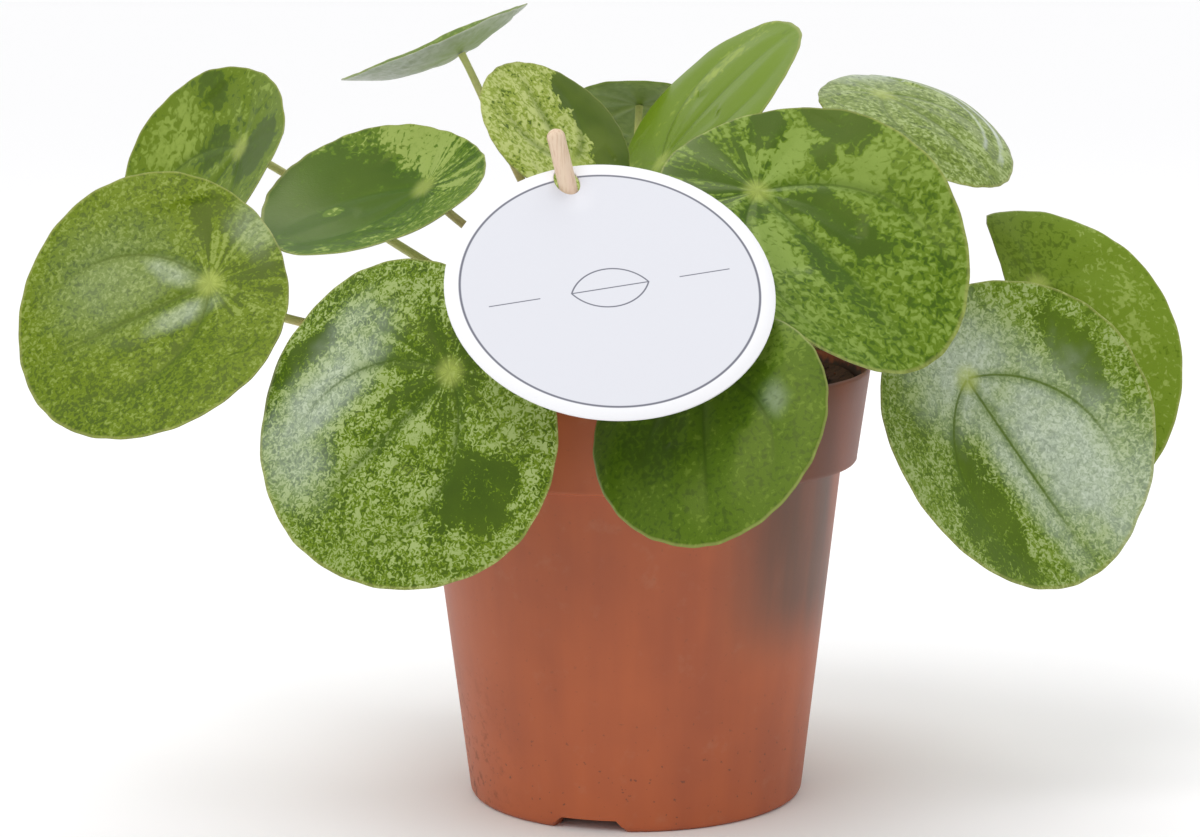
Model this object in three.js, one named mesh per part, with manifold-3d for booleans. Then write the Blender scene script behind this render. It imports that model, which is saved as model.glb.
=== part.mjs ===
// Potted mojito pilea in a tapered plastic nursery pot, with a round card label on a wooden stick.
// Millimetres, +Z up. The origin is the middle of the pot's foot, on the surface it stands on.
// The card faces -Y, the front. Azimuths are degrees in plan view, from +X towards +Y.
import * as THREE from "three";
import { mergeVertices } from "three/addons/utils/BufferGeometryUtils.js";
import Module from "manifold-3d";

const wasm = await Module();
wasm.setup();

const GAP = 0.3; // running gap between two pieces that touch
const ROUND_SIDES = 48; // sides of the pot and the soil

// Pot: a 12 cm nursery pot whose wall steps out into a collar under the rim.
const POT = {
  height: 110,
  rimRadius: 60,
  lip: 0.6,
  wall: 1.3,
  footRadius: 42.8,
  shoulderRadius: 52.8,
  collarRadius: 56.8,
  collarHeight: 24,
  floorRise: 3.4,
  floorThickness: 1.4,
  footRingWidth: 5,
  hubRadius: 12,
  notchWidth: 17,
  notchHeight: 3,
  notchCount: 3,
  notchAzimuth: -107,
  drainCount: 8,
  drainRadius: 4,
  drainCircle: 25,
  drainSides: 16,
};

// Soil: the root ball, a little under the rim, with a rough top.
const SOIL = { top: 99, relief: 0.9, crown: 1.5, rings: 9 };

// Stem: short and upright, knobbly where the petioles leave it.
const STEM = { depth: 24, top: 130, footRadius: 4.6, tipRadius: 2.6, sides: 16, knobHeight: 2.6, knobRise: 0.35 };
const BUD = { radius: 2.2, length: 9, fullest: 0.8, sides: 12, steps: 7 };

// Blade: "hold" is the share of its length behind the petiole, "taper" how much narrower it is towards its tip.
const BLADE = { thickness: 0.8, hold: 0.27, taper: 0.06, sectors: 24, rings: [0.32, 0.62, 0.86, 1] };

// Petiole: "leave" and "approach" are the shares of its span that it runs straight at its foot and at its blade.
// A blade shorter than "fullBlade" has a thinner one, down to the share "thinnest".
const PETIOLE = {
  footRadius: 1.45,
  tipRadius: 1.05,
  leave: 0.4,
  approach: 0.2,
  fullBlade: 58,
  thinnest: 0.35,
  sides: 7,
  steps: 9,
};

// Label: a thin round card that leans back, threaded on the stick by a slot near its edge.
const CARD = {
  radius: 38,
  thickness: 0.6,
  centre: [-6, -71, 137.4],
  facing: -84,
  tilt: 44,
  slotWidth: 5.8,
  slotLength: 8.4,
  slotAt: [-7.5, 32.8],
  slotSides: 20,
  sides: 64,
};
const STICK = { radius: 2.2, above: 12.5, lean: [-0.23, -0.05], depth: 30, sides: 14 };

// The leaves. "at" is where the petiole meets the blade, "facing" the azimuth that the blade's top looks to,
// "tilt" its angle from lying flat and "twist" the turn of its tip from straight downhill.
// Dome, fold and curl bend the blade, in millimetres at its margin: dome drops the whole margin, fold lifts
// both sides and curl lifts the two ends.
// "flat" is the stretch of the margin, in degrees from the tip, that runs straight instead of round.
// "node" is the height on the stem where the petiole starts, "rise" its first slope in degrees.
const LEAVES = [
  {
    at: [-103, -30, 135], facing: -107, tilt: 59, twist: -60,
    length: 71, width: 72, fold: 5, curl: -2, node: 107, rise: 12,
  },
  {
    at: [-102, 30, 164], facing: -145, tilt: 63, twist: -30,
    length: 72, width: 72, dome: -4, fold: 5, curl: -3, node: 110, rise: 22,
  },
  {
    at: [-52, -5, 156], facing: -128, tilt: 29, twist: -25,
    length: 57, width: 69, dome: -7, fold: 3, curl: 1, node: 115, rise: 45,
  },
  {
    at: [-43, -68, 118], facing: -115, tilt: 73, twist: -42,
    length: 76, width: 81, dome: 2, fold: -3, curl: 2, node: 108, rise: 45,
  },
  {
    at: [-44, 26, 189], facing: 183, tilt: 22, twist: -60,
    length: 51, width: 54, dome: -6, node: 119, rise: 42,
  },
  {
    at: [-15, 9, 161], facing: -46, tilt: 51, twist: 185,
    length: 44, width: 46, fold: 1, curl: 1, node: 124, rise: 62,
  },
  {
    at: [3, 70, 173], facing: 80, tilt: 35, twist: 0,
    length: 54, width: 52, dome: 2, node: 116, rise: 25,
  },
  {
    at: [8, 25, 160], facing: -158, tilt: 50, twist: 164,
    length: 68, width: 66, dome: 2, fold: 2, curl: -1, node: 122, rise: 60,
  },
  {
    at: [30, -27, 156], facing: -77, tilt: 47, twist: 34,
    length: 84, width: 69, dome: -2, fold: 9, curl: -5, node: 113, rise: 50,
  },
  {
    at: [15, -71, 118], facing: -121, tilt: 56, twist: 20,
    length: 60, width: 59, dome: 3, node: 105, rise: 48,
  },
  {
    at: [82, -22, 109], facing: -68, tilt: 72, twist: 31,
    length: 80, width: 73, dome: -1, fold: 11, curl: 1, node: 106, rise: 56,
  },
  {
    at: [106, 22, 127], facing: -69, tilt: 66, twist: 0,
    length: 85, width: 71, dome: 2, fold: 6, curl: -4, flat: [195, 345], node: 110, rise: 35,
  },
  {
    at: [65, 20, 177], facing: -48, tilt: 30, twist: 16,
    length: 54, width: 56, dome: 5, fold: 2, node: 116, rise: 50,
  },
  {
    at: [48, 58, 143], facing: 55, tilt: 50, twist: 0,
    length: 62, width: 60, dome: 3, node: 110, rise: 45,
  },
  {
    at: [-20, 78, 135], facing: 100, tilt: 60, twist: 0,
    length: 66, width: 62, dome: 3, node: 106, rise: 45,
  },
  {
    at: [5, -9, 145], facing: -60, tilt: 40, twist: 0,
    length: 24, width: 22, dome: 1, node: 126, rise: 60,
  },
  {
    at: [-8, -8, 140], facing: -150, tilt: 40, twist: 0,
    length: 18, width: 16, dome: 1, node: 127, rise: 60,
  },
];

const COLOURS = {
  pot: { color: 0xa3583a, roughness: 0.45 },
  soil: { color: 0x35251b, roughness: 0.95 },
  stem: { color: 0x6d5f3c, roughness: 0.8 },
  bud: { color: 0x8fae4a, roughness: 0.6 },
  blade: { color: 0x5f8a2b, roughness: 0.42 },
  petiole: { color: 0x8a8a4a, roughness: 0.6 },
  card: { color: 0xf1f2f4, roughness: 0.6 },
  stick: { color: 0xe2c7ac, roughness: 0.75 },
};

const rad = THREE.MathUtils.degToRad;
const vector = (array) => new THREE.Vector3(...array);

// A closed geometry of points and triangles, both as arrays of triples.
function geometryFrom(points, triangles) {
  const geometry = new THREE.BufferGeometry();
  geometry.setAttribute("position", new THREE.Float32BufferAttribute(points.flatMap((p) => [p.x, p.y, p.z]), 3));
  geometry.setIndex(triangles.flat());
  return geometry;
}

// A three.js geometry as a manifold solid, its seams merged and its collapsed triangles dropped.
function solid(geometry) {
  const bare = new THREE.BufferGeometry();
  bare.setAttribute("position", geometry.getAttribute("position"));
  bare.setIndex(geometry.getIndex());
  const merged = mergeVertices(bare, 1e-3);
  const index = merged.index.array;
  const kept = [];
  for (let i = 0; i < index.length; i += 3) {
    const [a, b, c] = index.slice(i, i + 3);
    if (a !== b && b !== c && c !== a) kept.push(a, b, c);
  }
  return new wasm.Manifold(
    new wasm.Mesh({ numProp: 3, vertProperties: merged.attributes.position.array, triVerts: new Uint32Array(kept) }),
  );
}

function geometryOf(manifold) {
  const mesh = manifold.getMesh();
  const geometry = new THREE.BufferGeometry();
  geometry.setAttribute("position", new THREE.BufferAttribute(new Float32Array(mesh.vertProperties), 3));
  geometry.setIndex(new THREE.BufferAttribute(new Uint32Array(mesh.triVerts), 1));
  return geometry;
}

// A profile of [radius, height] pairs turned about Z. The profile runs up the outside and back to the axis.
function turned(profile, sides = ROUND_SIDES) {
  const points = profile.map(([radius, height]) => new THREE.Vector2(radius, height));
  return new THREE.LatheGeometry(points, sides).rotateX(Math.PI / 2);
}

function cylinder(radius, from, to, sides) {
  const length = to - from;
  return new THREE.CylinderGeometry(radius, radius, length, sides).rotateX(Math.PI / 2).translate(0, 0, from + length / 2);
}

function named(name, geometry, finish) {
  const mesh = new THREE.Mesh(geometry, new THREE.MeshStandardMaterial({ metalness: 0, ...finish }));
  mesh.name = name;
  return mesh;
}

const shoulderHeight = POT.height - POT.collarHeight;
const floorTop = POT.floorRise + POT.floorThickness;
const wallSlope = (POT.shoulderRadius - POT.footRadius) / shoulderHeight;
const collarSlope = (POT.rimRadius - POT.collarRadius) / POT.collarHeight;
const innerWallRadius = (z) => POT.footRadius + wallSlope * z - POT.wall;
const innerCollarRadius = (z) => POT.collarRadius + collarSlope * (z - shoulderHeight) - POT.wall;

function potGeometry() {
  const ringInside = POT.footRadius - POT.footRingWidth;
  const profile = [
    [0, 0],
    [POT.hubRadius, 0],
    [POT.hubRadius + 1.5, POT.floorRise],
    [ringInside - 1, POT.floorRise],
    [ringInside, 0],
    [POT.footRadius - 1.6, 0],
    [POT.footRadius - 0.5, 0.4],
    [POT.footRadius + 0.1, 1.5],
    [POT.shoulderRadius, shoulderHeight],
    [POT.collarRadius - POT.lip, shoulderHeight + 0.4],
    [POT.collarRadius, shoulderHeight + 1],
    [POT.rimRadius, POT.height - POT.lip],
    [POT.rimRadius - POT.lip, POT.height],
    [POT.rimRadius - POT.wall, POT.height - 0.2],
    [innerCollarRadius(shoulderHeight + 3), shoulderHeight + 3],
    [innerCollarRadius(shoulderHeight + 2) - 0.8, shoulderHeight + 1.9],
    [innerWallRadius(shoulderHeight), shoulderHeight + 0.9],
    [innerWallRadius(floorTop + 2), floorTop + 2],
    [innerWallRadius(floorTop) - 1.4, floorTop],
    [0, floorTop],
  ];
  let pot = solid(turned(profile));
  const drain = solid(cylinder(POT.drainRadius, -1, floorTop + 1, POT.drainSides));
  for (let i = 0; i < POT.drainCount; i++) {
    const turn = (i / POT.drainCount) * 2 * Math.PI;
    pot = pot.subtract(drain.translate([POT.drainCircle * Math.cos(turn), POT.drainCircle * Math.sin(turn), 0]));
  }
  const notch = solid(new THREE.BoxGeometry(2 * POT.footRingWidth + 4, POT.notchWidth, 2 * POT.notchHeight));
  for (let i = 0; i < POT.notchCount; i++) {
    const azimuth = POT.notchAzimuth + (i * 360) / POT.notchCount;
    const reach = POT.footRadius + 1;
    const place = [reach * Math.cos(rad(azimuth)), reach * Math.sin(rad(azimuth)), 0];
    pot = pot.subtract(notch.rotate([0, 0, azimuth]).translate(place));
  }
  return geometryOf(pot);
}

// The soil's top: a low crown with rough ground on it, calm at the edge so that it stays clear of the wall.
function soilHeight(radius, azimuth) {
  const edge = innerCollarRadius(SOIL.top) - GAP;
  const calm = 1 - (radius / edge) ** 6;
  const rough =
    Math.sin(0.31 * radius * Math.cos(azimuth) + 1.3) * Math.cos(0.37 * radius * Math.sin(azimuth) - 0.4) +
    0.5 * Math.sin(0.83 * radius * Math.sin(azimuth) + 0.61 * radius * Math.cos(azimuth));
  return SOIL.top + SOIL.crown * (1 - (radius / edge) ** 2) + SOIL.relief * rough * calm;
}

// The card's place: its own X runs to its side, its Y uphill and its Z out of its face.
const cardAxes = bladeAxes({ facing: CARD.facing, tilt: CARD.tilt, twist: 0 });
const cardPlace = new THREE.Matrix4()
  .makeBasis(cardAxes.side, cardAxes.tip.clone().negate(), cardAxes.normal)
  .setPosition(...CARD.centre);

// The stick goes through the middle of the card's slot.
const stickThrough = new THREE.Vector3(...CARD.slotAt, 0).applyMatrix4(cardPlace);
const stickAxis = vector([...STICK.lean, 1]).normalize();
const stickAt = (z) => stickThrough.clone().addScaledVector(stickAxis, (z - stickThrough.z) / stickAxis.z);

// A round rod about the stick's axis, from one height to another.
function stickRod(radius, from, to, sides) {
  const foot = stickAt(from);
  const length = stickAt(to).distanceTo(foot);
  const rod = new THREE.CylinderGeometry(radius, radius, length, sides).translate(0, length / 2, 0);
  rod.applyQuaternion(new THREE.Quaternion().setFromUnitVectors(new THREE.Vector3(0, 1, 0), stickAxis));
  return rod.translate(foot.x, foot.y, foot.z);
}

function soilGeometry() {
  const edge = innerCollarRadius(SOIL.top) - GAP;
  const shoulder = shoulderHeight + 3;
  const foot = floorTop + GAP;
  const outside = [
    [innerWallRadius(foot) - 2, foot],
    [innerWallRadius(foot + 2) - 0.5, foot + 2.4],
    [innerWallRadius(shoulderHeight) - GAP, shoulderHeight + 1],
    [innerCollarRadius(shoulder) - 1.2, shoulder + 0.3],
    [innerCollarRadius(shoulder + 1) - GAP, shoulder + 1],
  ];
  const points = [new THREE.Vector3(0, 0, foot)];
  const rows = outside.map(([radius, z]) => () => [radius, z]);
  for (let i = 0; i < SOIL.rings; i++) {
    const radius = edge * (1 - i / SOIL.rings);
    rows.push((azimuth) => [radius, soilHeight(radius, azimuth)]);
  }
  for (const row of rows) {
    for (let i = 0; i < ROUND_SIDES; i++) {
      const azimuth = (i / ROUND_SIDES) * 2 * Math.PI;
      const [radius, z] = row(azimuth);
      points.push(new THREE.Vector3(radius * Math.cos(azimuth), radius * Math.sin(azimuth), z));
    }
  }
  points.push(new THREE.Vector3(0, 0, soilHeight(0, 0)));
  const body = solid(geometryFrom(points, capsule(rows.length, ROUND_SIDES)));
  const stemHole = solid(cylinder(STEM.footRadius + GAP, SOIL.top - STEM.depth - GAP, POT.height, STEM.sides));
  const stickHole = solid(stickRod(STICK.radius + GAP, SOIL.top - STICK.depth - GAP, POT.height, STICK.sides));
  return geometryOf(body.subtract(stemHole).subtract(stickHole));
}

// Triangles of a closed skin over rows of points, with a single point before the first row and one after the last.
function capsule(rows, sides) {
  const triangles = [];
  const at = (row, i) => 1 + row * sides + (i % sides);
  const last = 1 + rows * sides;
  for (let i = 0; i < sides; i++) {
    triangles.push([0, at(0, i + 1), at(0, i)]);
    for (let row = 0; row < rows - 1; row++) {
      triangles.push([at(row, i), at(row, i + 1), at(row + 1, i + 1)]);
      triangles.push([at(row, i), at(row + 1, i + 1), at(row + 1, i)]);
    }
    triangles.push([last, at(rows - 1, i), at(rows - 1, i + 1)]);
  }
  return triangles;
}

// The stem's radius: it tapers upwards and swells a little at every petiole.
function stemRadius(z) {
  const share = THREE.MathUtils.clamp((z - SOIL.top) / (STEM.top - SOIL.top), 0, 1);
  const knob = Math.cos((2 * Math.PI * (z - SOIL.top)) / STEM.knobHeight);
  return THREE.MathUtils.lerp(STEM.footRadius - STEM.knobRise, STEM.tipRadius, share) + STEM.knobRise * knob;
}

// How far the stem reaches out where a petiole's foot covers it.
function stemReach(node) {
  const heights = [-3, -2, -1, 0, 1, 2, 3].map((step) => node + step);
  return Math.max(...heights.map(stemRadius));
}

function stemGeometry() {
  const profile = [
    [0, SOIL.top - STEM.depth],
    [STEM.footRadius - 1.5, SOIL.top - STEM.depth],
    [STEM.footRadius - 0.2, SOIL.top - STEM.depth + 3],
    [STEM.footRadius - 0.2, SOIL.top - 1],
  ];
  const steps = Math.round((STEM.top - SOIL.top) / (STEM.knobHeight / 2));
  for (let i = 0; i <= steps; i++) {
    const z = SOIL.top + (i / steps) * (STEM.top - SOIL.top);
    profile.push([stemRadius(z), z]);
  }
  profile.push([0, STEM.top + 1]);
  return turned(profile, STEM.sides);
}

function budGeometry() {
  const profile = [[0, 0]];
  for (let i = 1; i < BUD.steps; i++) {
    const share = i / BUD.steps;
    profile.push([BUD.radius * Math.sin(Math.PI * share ** BUD.fullest), BUD.length * share]);
  }
  profile.push([0, BUD.length]);
  return turned(profile, BUD.sides).translate(0, 0, STEM.top + 1 + GAP);
}

// The directions of a blade: towards its tip, to its side and out of its top.
function bladeAxes({ facing, tilt, twist }) {
  const level = new THREE.Vector3(Math.cos(rad(facing)), Math.sin(rad(facing)), 0);
  const up = new THREE.Vector3(0, 0, 1);
  const normal = level.clone().multiplyScalar(Math.sin(rad(tilt))).addScaledVector(up, Math.cos(rad(tilt)));
  const downhill = level.clone().multiplyScalar(Math.cos(rad(tilt))).addScaledVector(up, -Math.sin(rad(tilt)));
  const across = normal.clone().cross(downhill);
  const tip = downhill.multiplyScalar(Math.cos(rad(twist))).addScaledVector(across, Math.sin(rad(twist)));
  return { tip, side: normal.clone().cross(tip), normal };
}

const holdAlong = 2 * BLADE.hold - 1;
const SLOPE_STEP = 0.01; // step along or across a blade over which its slope is taken

// A point of the blade's middle surface. "along" and "across" run from -1 to 1 over its length and width.
function bladePoint(leaf, axes, along, across) {
  const { dome = 0, fold = 0, curl = 0 } = leaf;
  const lift = (a, b) => -dome * (a * a + b * b) + fold * b * b + curl * a * a;
  const forward = ((along - holdAlong) * leaf.length) / 2;
  const sideways = (across * leaf.width * (1 - BLADE.taper * along)) / 2;
  const raised = lift(along, across) - lift(holdAlong, 0);
  return vector(leaf.at)
    .addScaledVector(axes.tip, forward)
    .addScaledVector(axes.side, sideways)
    .addScaledVector(axes.normal, raised);
}

// The margin's reach in a direction of the blade, in degrees from its tip: 1 where it is round.
function marginReach(leaf, turn) {
  if (!leaf.flat) return 1;
  const [from, to] = leaf.flat;
  if (turn <= from || turn >= to) return 1;
  return Math.cos(rad((to - from) / 2)) / Math.cos(rad(turn - (from + to) / 2));
}

// A thin waved disc with the same triangles on its top and its underside.
function bladeGeometry(leaf) {
  const axes = bladeAxes(leaf);
  const skins = [[], []];
  const addPoint = (along, across) => {
    const here = bladePoint(leaf, axes, along, across);
    const ahead = bladePoint(leaf, axes, along + SLOPE_STEP, across).sub(here);
    const beside = bladePoint(leaf, axes, along, across + SLOPE_STEP).sub(here);
    const out = ahead.cross(beside).normalize();
    skins[0].push(here.clone().addScaledVector(out, BLADE.thickness / 2));
    skins[1].push(here.clone().addScaledVector(out, -BLADE.thickness / 2));
  };
  addPoint(0, 0);
  for (const ring of BLADE.rings) {
    for (let i = 0; i < BLADE.sectors; i++) {
      const turn = (i / BLADE.sectors) * 360;
      const reach = ring * marginReach(leaf, turn);
      addPoint(reach * Math.cos(rad(turn)), reach * Math.sin(rad(turn)));
    }
  }
  const at = (ring, i) => 1 + ring * BLADE.sectors + (i % BLADE.sectors);
  const under = skins[0].length;
  const edge = BLADE.rings.length - 1;
  const triangles = [];
  const both = (a, b, c) => triangles.push([a, b, c], [under + a, under + c, under + b]);
  for (let i = 0; i < BLADE.sectors; i++) {
    both(0, at(0, i), at(0, i + 1));
    for (let ring = 0; ring < edge; ring++) {
      both(at(ring, i), at(ring + 1, i), at(ring + 1, i + 1));
      both(at(ring, i), at(ring + 1, i + 1), at(ring, i + 1));
    }
    const [a, b] = [at(edge, i), at(edge, i + 1)];
    triangles.push([a, under + a, under + b], [a, under + b, b]);
  }
  return geometryFrom([...skins[0], ...skins[1]], triangles);
}

// The way out of the blade's top where the petiole holds it.
function holdNormal(leaf) {
  const axes = bladeAxes(leaf);
  const near = (ahead, aside) => bladePoint(leaf, axes, holdAlong + ahead * SLOPE_STEP, aside * SLOPE_STEP);
  const ahead = near(1, 0).sub(near(-1, 0));
  const beside = near(0, 1).sub(near(0, -1));
  return ahead.cross(beside).normalize();
}

// A petiole: a tapered rod that leaves the stem outwards and meets the blade from beneath, square to it.
// Its foot is cut upright, to lie against the stem.
function petioleGeometry(leaf) {
  const normal = holdNormal(leaf);
  const end = vector(leaf.at).addScaledVector(normal, -(BLADE.thickness / 2 + GAP));
  const azimuth = Math.atan2(leaf.at[1], leaf.at[0]);
  const outwards = new THREE.Vector3(Math.cos(azimuth), Math.sin(azimuth), 0);
  const start = outwards.clone().multiplyScalar(stemReach(leaf.node) + GAP);
  start.z = leaf.node;
  const leaving = outwards.clone().multiplyScalar(Math.cos(rad(leaf.rise)));
  leaving.z = Math.sin(rad(leaf.rise));
  const reach = start.distanceTo(end);
  const curve = new THREE.CubicBezierCurve3(
    start,
    start.clone().addScaledVector(leaving, PETIOLE.leave * reach),
    end.clone().addScaledVector(normal, -PETIOLE.approach * reach),
    end,
  );
  const frames = curve.computeFrenetFrames(PETIOLE.steps);
  const share = leaf.length / PETIOLE.fullBlade;
  const scale = Math.min(1, PETIOLE.thinnest + (1 - PETIOLE.thinnest) * share);
  const points = [start.clone()];
  for (let i = 0; i <= PETIOLE.steps; i++) {
    const centre = curve.getPointAt(i / PETIOLE.steps);
    const radius = scale * THREE.MathUtils.lerp(PETIOLE.footRadius, PETIOLE.tipRadius, i / PETIOLE.steps);
    for (let k = 0; k < PETIOLE.sides; k++) {
      const turn = (k / PETIOLE.sides) * 2 * Math.PI;
      const point = centre
        .clone()
        .addScaledVector(frames.normals[i], radius * Math.cos(turn))
        .addScaledVector(frames.binormals[i], radius * Math.sin(turn));
      if (i === 0) point.addScaledVector(leaving, -point.clone().sub(start).dot(outwards) / leaving.dot(outwards));
      points.push(point);
    }
  }
  points.push(end.clone());
  return geometryFrom(points, capsule(PETIOLE.steps + 1, PETIOLE.sides));
}

function cardGeometry() {
  const disc = new THREE.CylinderGeometry(CARD.radius, CARD.radius, CARD.thickness, CARD.sides);
  const along = stickAxis.clone().transformDirection(cardPlace.clone().invert());
  const slot = new THREE.CylinderGeometry(CARD.slotWidth / 2, CARD.slotWidth / 2, CARD.slotWidth, CARD.slotSides)
    .rotateX(Math.PI / 2)
    .scale(1, CARD.slotLength / CARD.slotWidth, 1)
    .rotateZ(Math.atan2(along.y, along.x) - Math.PI / 2)
    .translate(...CARD.slotAt, 0);
  return geometryOf(solid(disc.rotateX(Math.PI / 2)).subtract(solid(slot))).applyMatrix4(cardPlace);
}

// A round stick with a domed top.
function stickGeometry() {
  const foot = SOIL.top - STICK.depth;
  const top = stickThrough.z + STICK.above;
  const length = stickAt(top).distanceTo(stickAt(foot));
  const profile = [
    [0, 0],
    [STICK.radius * 0.4, 0],
    [STICK.radius, 5],
    [STICK.radius, length - STICK.radius],
    [STICK.radius * 0.87, length - STICK.radius * 0.5],
    [STICK.radius * 0.5, length - STICK.radius * 0.13],
    [0, length],
  ];
  const rod = turned(profile, STICK.sides);
  rod.applyQuaternion(new THREE.Quaternion().setFromUnitVectors(new THREE.Vector3(0, 0, 1), stickAxis));
  return rod.translate(...stickAt(foot).toArray());
}

const plant = new THREE.Group();
plant.add(named("pot", potGeometry(), COLOURS.pot));
plant.add(named("soil", soilGeometry(), COLOURS.soil));
plant.add(named("stem", stemGeometry(), COLOURS.stem));
plant.add(named("bud", budGeometry(), COLOURS.bud));
LEAVES.forEach((leaf, i) => {
  const number = String(i + 1).padStart(2, "0");
  plant.add(named(`leaf_blade_${number}`, bladeGeometry(leaf), COLOURS.blade));
  plant.add(named(`petiole_${number}`, petioleGeometry(leaf), COLOURS.petiole));
});
plant.add(named("label_card", cardGeometry(), COLOURS.card));
plant.add(named("label_stick", stickGeometry(), COLOURS.stick));

export default plant;
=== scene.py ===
"""A mojito pilea in a terracotta-coloured plastic nursery pot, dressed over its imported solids."""

from __future__ import annotations

import logging
import math
from dataclasses import dataclass, field, replace
from enum import Enum
from itertools import combinations
from typing import Any, ClassVar, Optional, Sequence, Union

import bpy
import numpy as np
from mathutils import Matrix, Vector

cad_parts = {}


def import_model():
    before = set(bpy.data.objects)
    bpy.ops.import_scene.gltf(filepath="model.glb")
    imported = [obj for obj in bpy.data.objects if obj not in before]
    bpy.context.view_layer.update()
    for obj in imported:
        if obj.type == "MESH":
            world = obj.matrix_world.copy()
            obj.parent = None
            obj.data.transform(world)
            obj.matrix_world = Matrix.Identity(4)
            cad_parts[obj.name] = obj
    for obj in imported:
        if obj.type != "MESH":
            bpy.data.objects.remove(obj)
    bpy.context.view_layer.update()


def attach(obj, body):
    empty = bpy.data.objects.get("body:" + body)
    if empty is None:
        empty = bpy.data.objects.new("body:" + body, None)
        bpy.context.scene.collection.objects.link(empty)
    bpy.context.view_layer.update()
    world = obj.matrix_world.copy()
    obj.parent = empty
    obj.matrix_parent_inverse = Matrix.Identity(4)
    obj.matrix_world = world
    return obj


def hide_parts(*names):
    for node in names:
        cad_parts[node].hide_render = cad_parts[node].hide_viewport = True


LOG = logging.getLogger("pilea")
MM = 0.001
PLANE_SCALE = 100.0  # millimetres of a flat pattern that one unit of its UV map spans
USUAL_LENGTH = 75.0  # millimetres of a leaf whose veins have their full size

Colour = tuple[float, float, float, float]
Point = tuple[float, float, float]
Pair = tuple[float, float]


def tone(red: int, green: int, blue: int) -> Colour:
    """Turns a colour as a screen shows it into the light values that a shader takes.

    Args:
        red: Red, 0 to 255.
        green: Green, 0 to 255.
        blue: Blue, 0 to 255.

    Returns:
        The same colour as linear light, opaque.
    """
    parts = [channel / 255 for channel in (red, green, blue)]
    light = [p / 12.92 if p <= 0.04045 else ((p + 0.055) / 1.055) ** 2.4 for p in parts]
    return (light[0], light[1], light[2], 1.0)


def beneath_gloss(colour: Colour, gloss: float, blue_share: float = 0.7) -> Colour:
    """Takes from a colour the white light that a glossy surface adds to it.

    Args:
        colour: The colour as it is seen.
        gloss: The share of white that the surface reflects.
        blue_share: How much of the remaining blue stays: leaves in each other's light look greener.

    Returns:
        The colour to paint.
    """
    red, green, blue = (max(channel - gloss, 0.003) for channel in colour[:3])
    return (red, green, blue * blue_share, 1.0)


# Shader expressions


class Signal:
    """One output of a material's nodes, on which arithmetic adds Math nodes."""

    def __init__(self, paint: "Paint", socket: bpy.types.NodeSocket) -> None:
        """Keeps the material that the socket is in, and the socket."""
        self.paint = paint
        self.socket = socket

    def __add__(self, other: "Value") -> "Signal":
        """Returns this plus other."""
        return self.paint.math("ADD", self, other)

    __radd__ = __add__

    def __sub__(self, other: "Value") -> "Signal":
        """Returns this less other."""
        return self.paint.math("SUBTRACT", self, other)

    def __rsub__(self, other: "Value") -> "Signal":
        """Returns other less this."""
        return self.paint.math("SUBTRACT", other, self)

    def __mul__(self, other: "Value") -> "Signal":
        """Returns this times other."""
        return self.paint.math("MULTIPLY", self, other)

    __rmul__ = __mul__

    def __truediv__(self, other: "Value") -> "Signal":
        """Returns this divided by other."""
        return self.paint.math("DIVIDE", self, other)

    def __rtruediv__(self, other: "Value") -> "Signal":
        """Returns other divided by this."""
        return self.paint.math("DIVIDE", other, self)

    def __pow__(self, other: "Value") -> "Signal":
        """Returns this to the power of other."""
        return self.paint.math("POWER", self, other)

    def size(self) -> "Signal":
        """Returns this without its sign."""
        return self.paint.math("ABSOLUTE", self)

    def least(self, other: "Value") -> "Signal":
        """Returns the smaller of this and other."""
        return self.paint.math("MINIMUM", self, other)

    def most(self, other: "Value") -> "Signal":
        """Returns the larger of this and other."""
        return self.paint.math("MAXIMUM", self, other)

    def rise(self, low: float, high: float) -> "Signal":
        """Eases from 0 at low to 1 at high, or the other way round where low is above high.

        Args:
            low: The value that gives 0.
            high: The value that gives 1.

        Returns:
            The eased value.
        """
        turned = low > high
        ends = (high, low, 1.0, 0.0) if turned else (low, high, 0.0, 1.0)
        inputs = dict(zip(("Value", "From Min", "From Max", "To Min", "To Max"), (self, *ends)))
        made = self.paint.node("ShaderNodeMapRange", {"interpolation_type": "SMOOTHSTEP"}, inputs)
        return Signal(self.paint, made.outputs["Result"])


Value = Union[int, float, Signal]
Input = Union[int, float, tuple, Signal]


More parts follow.
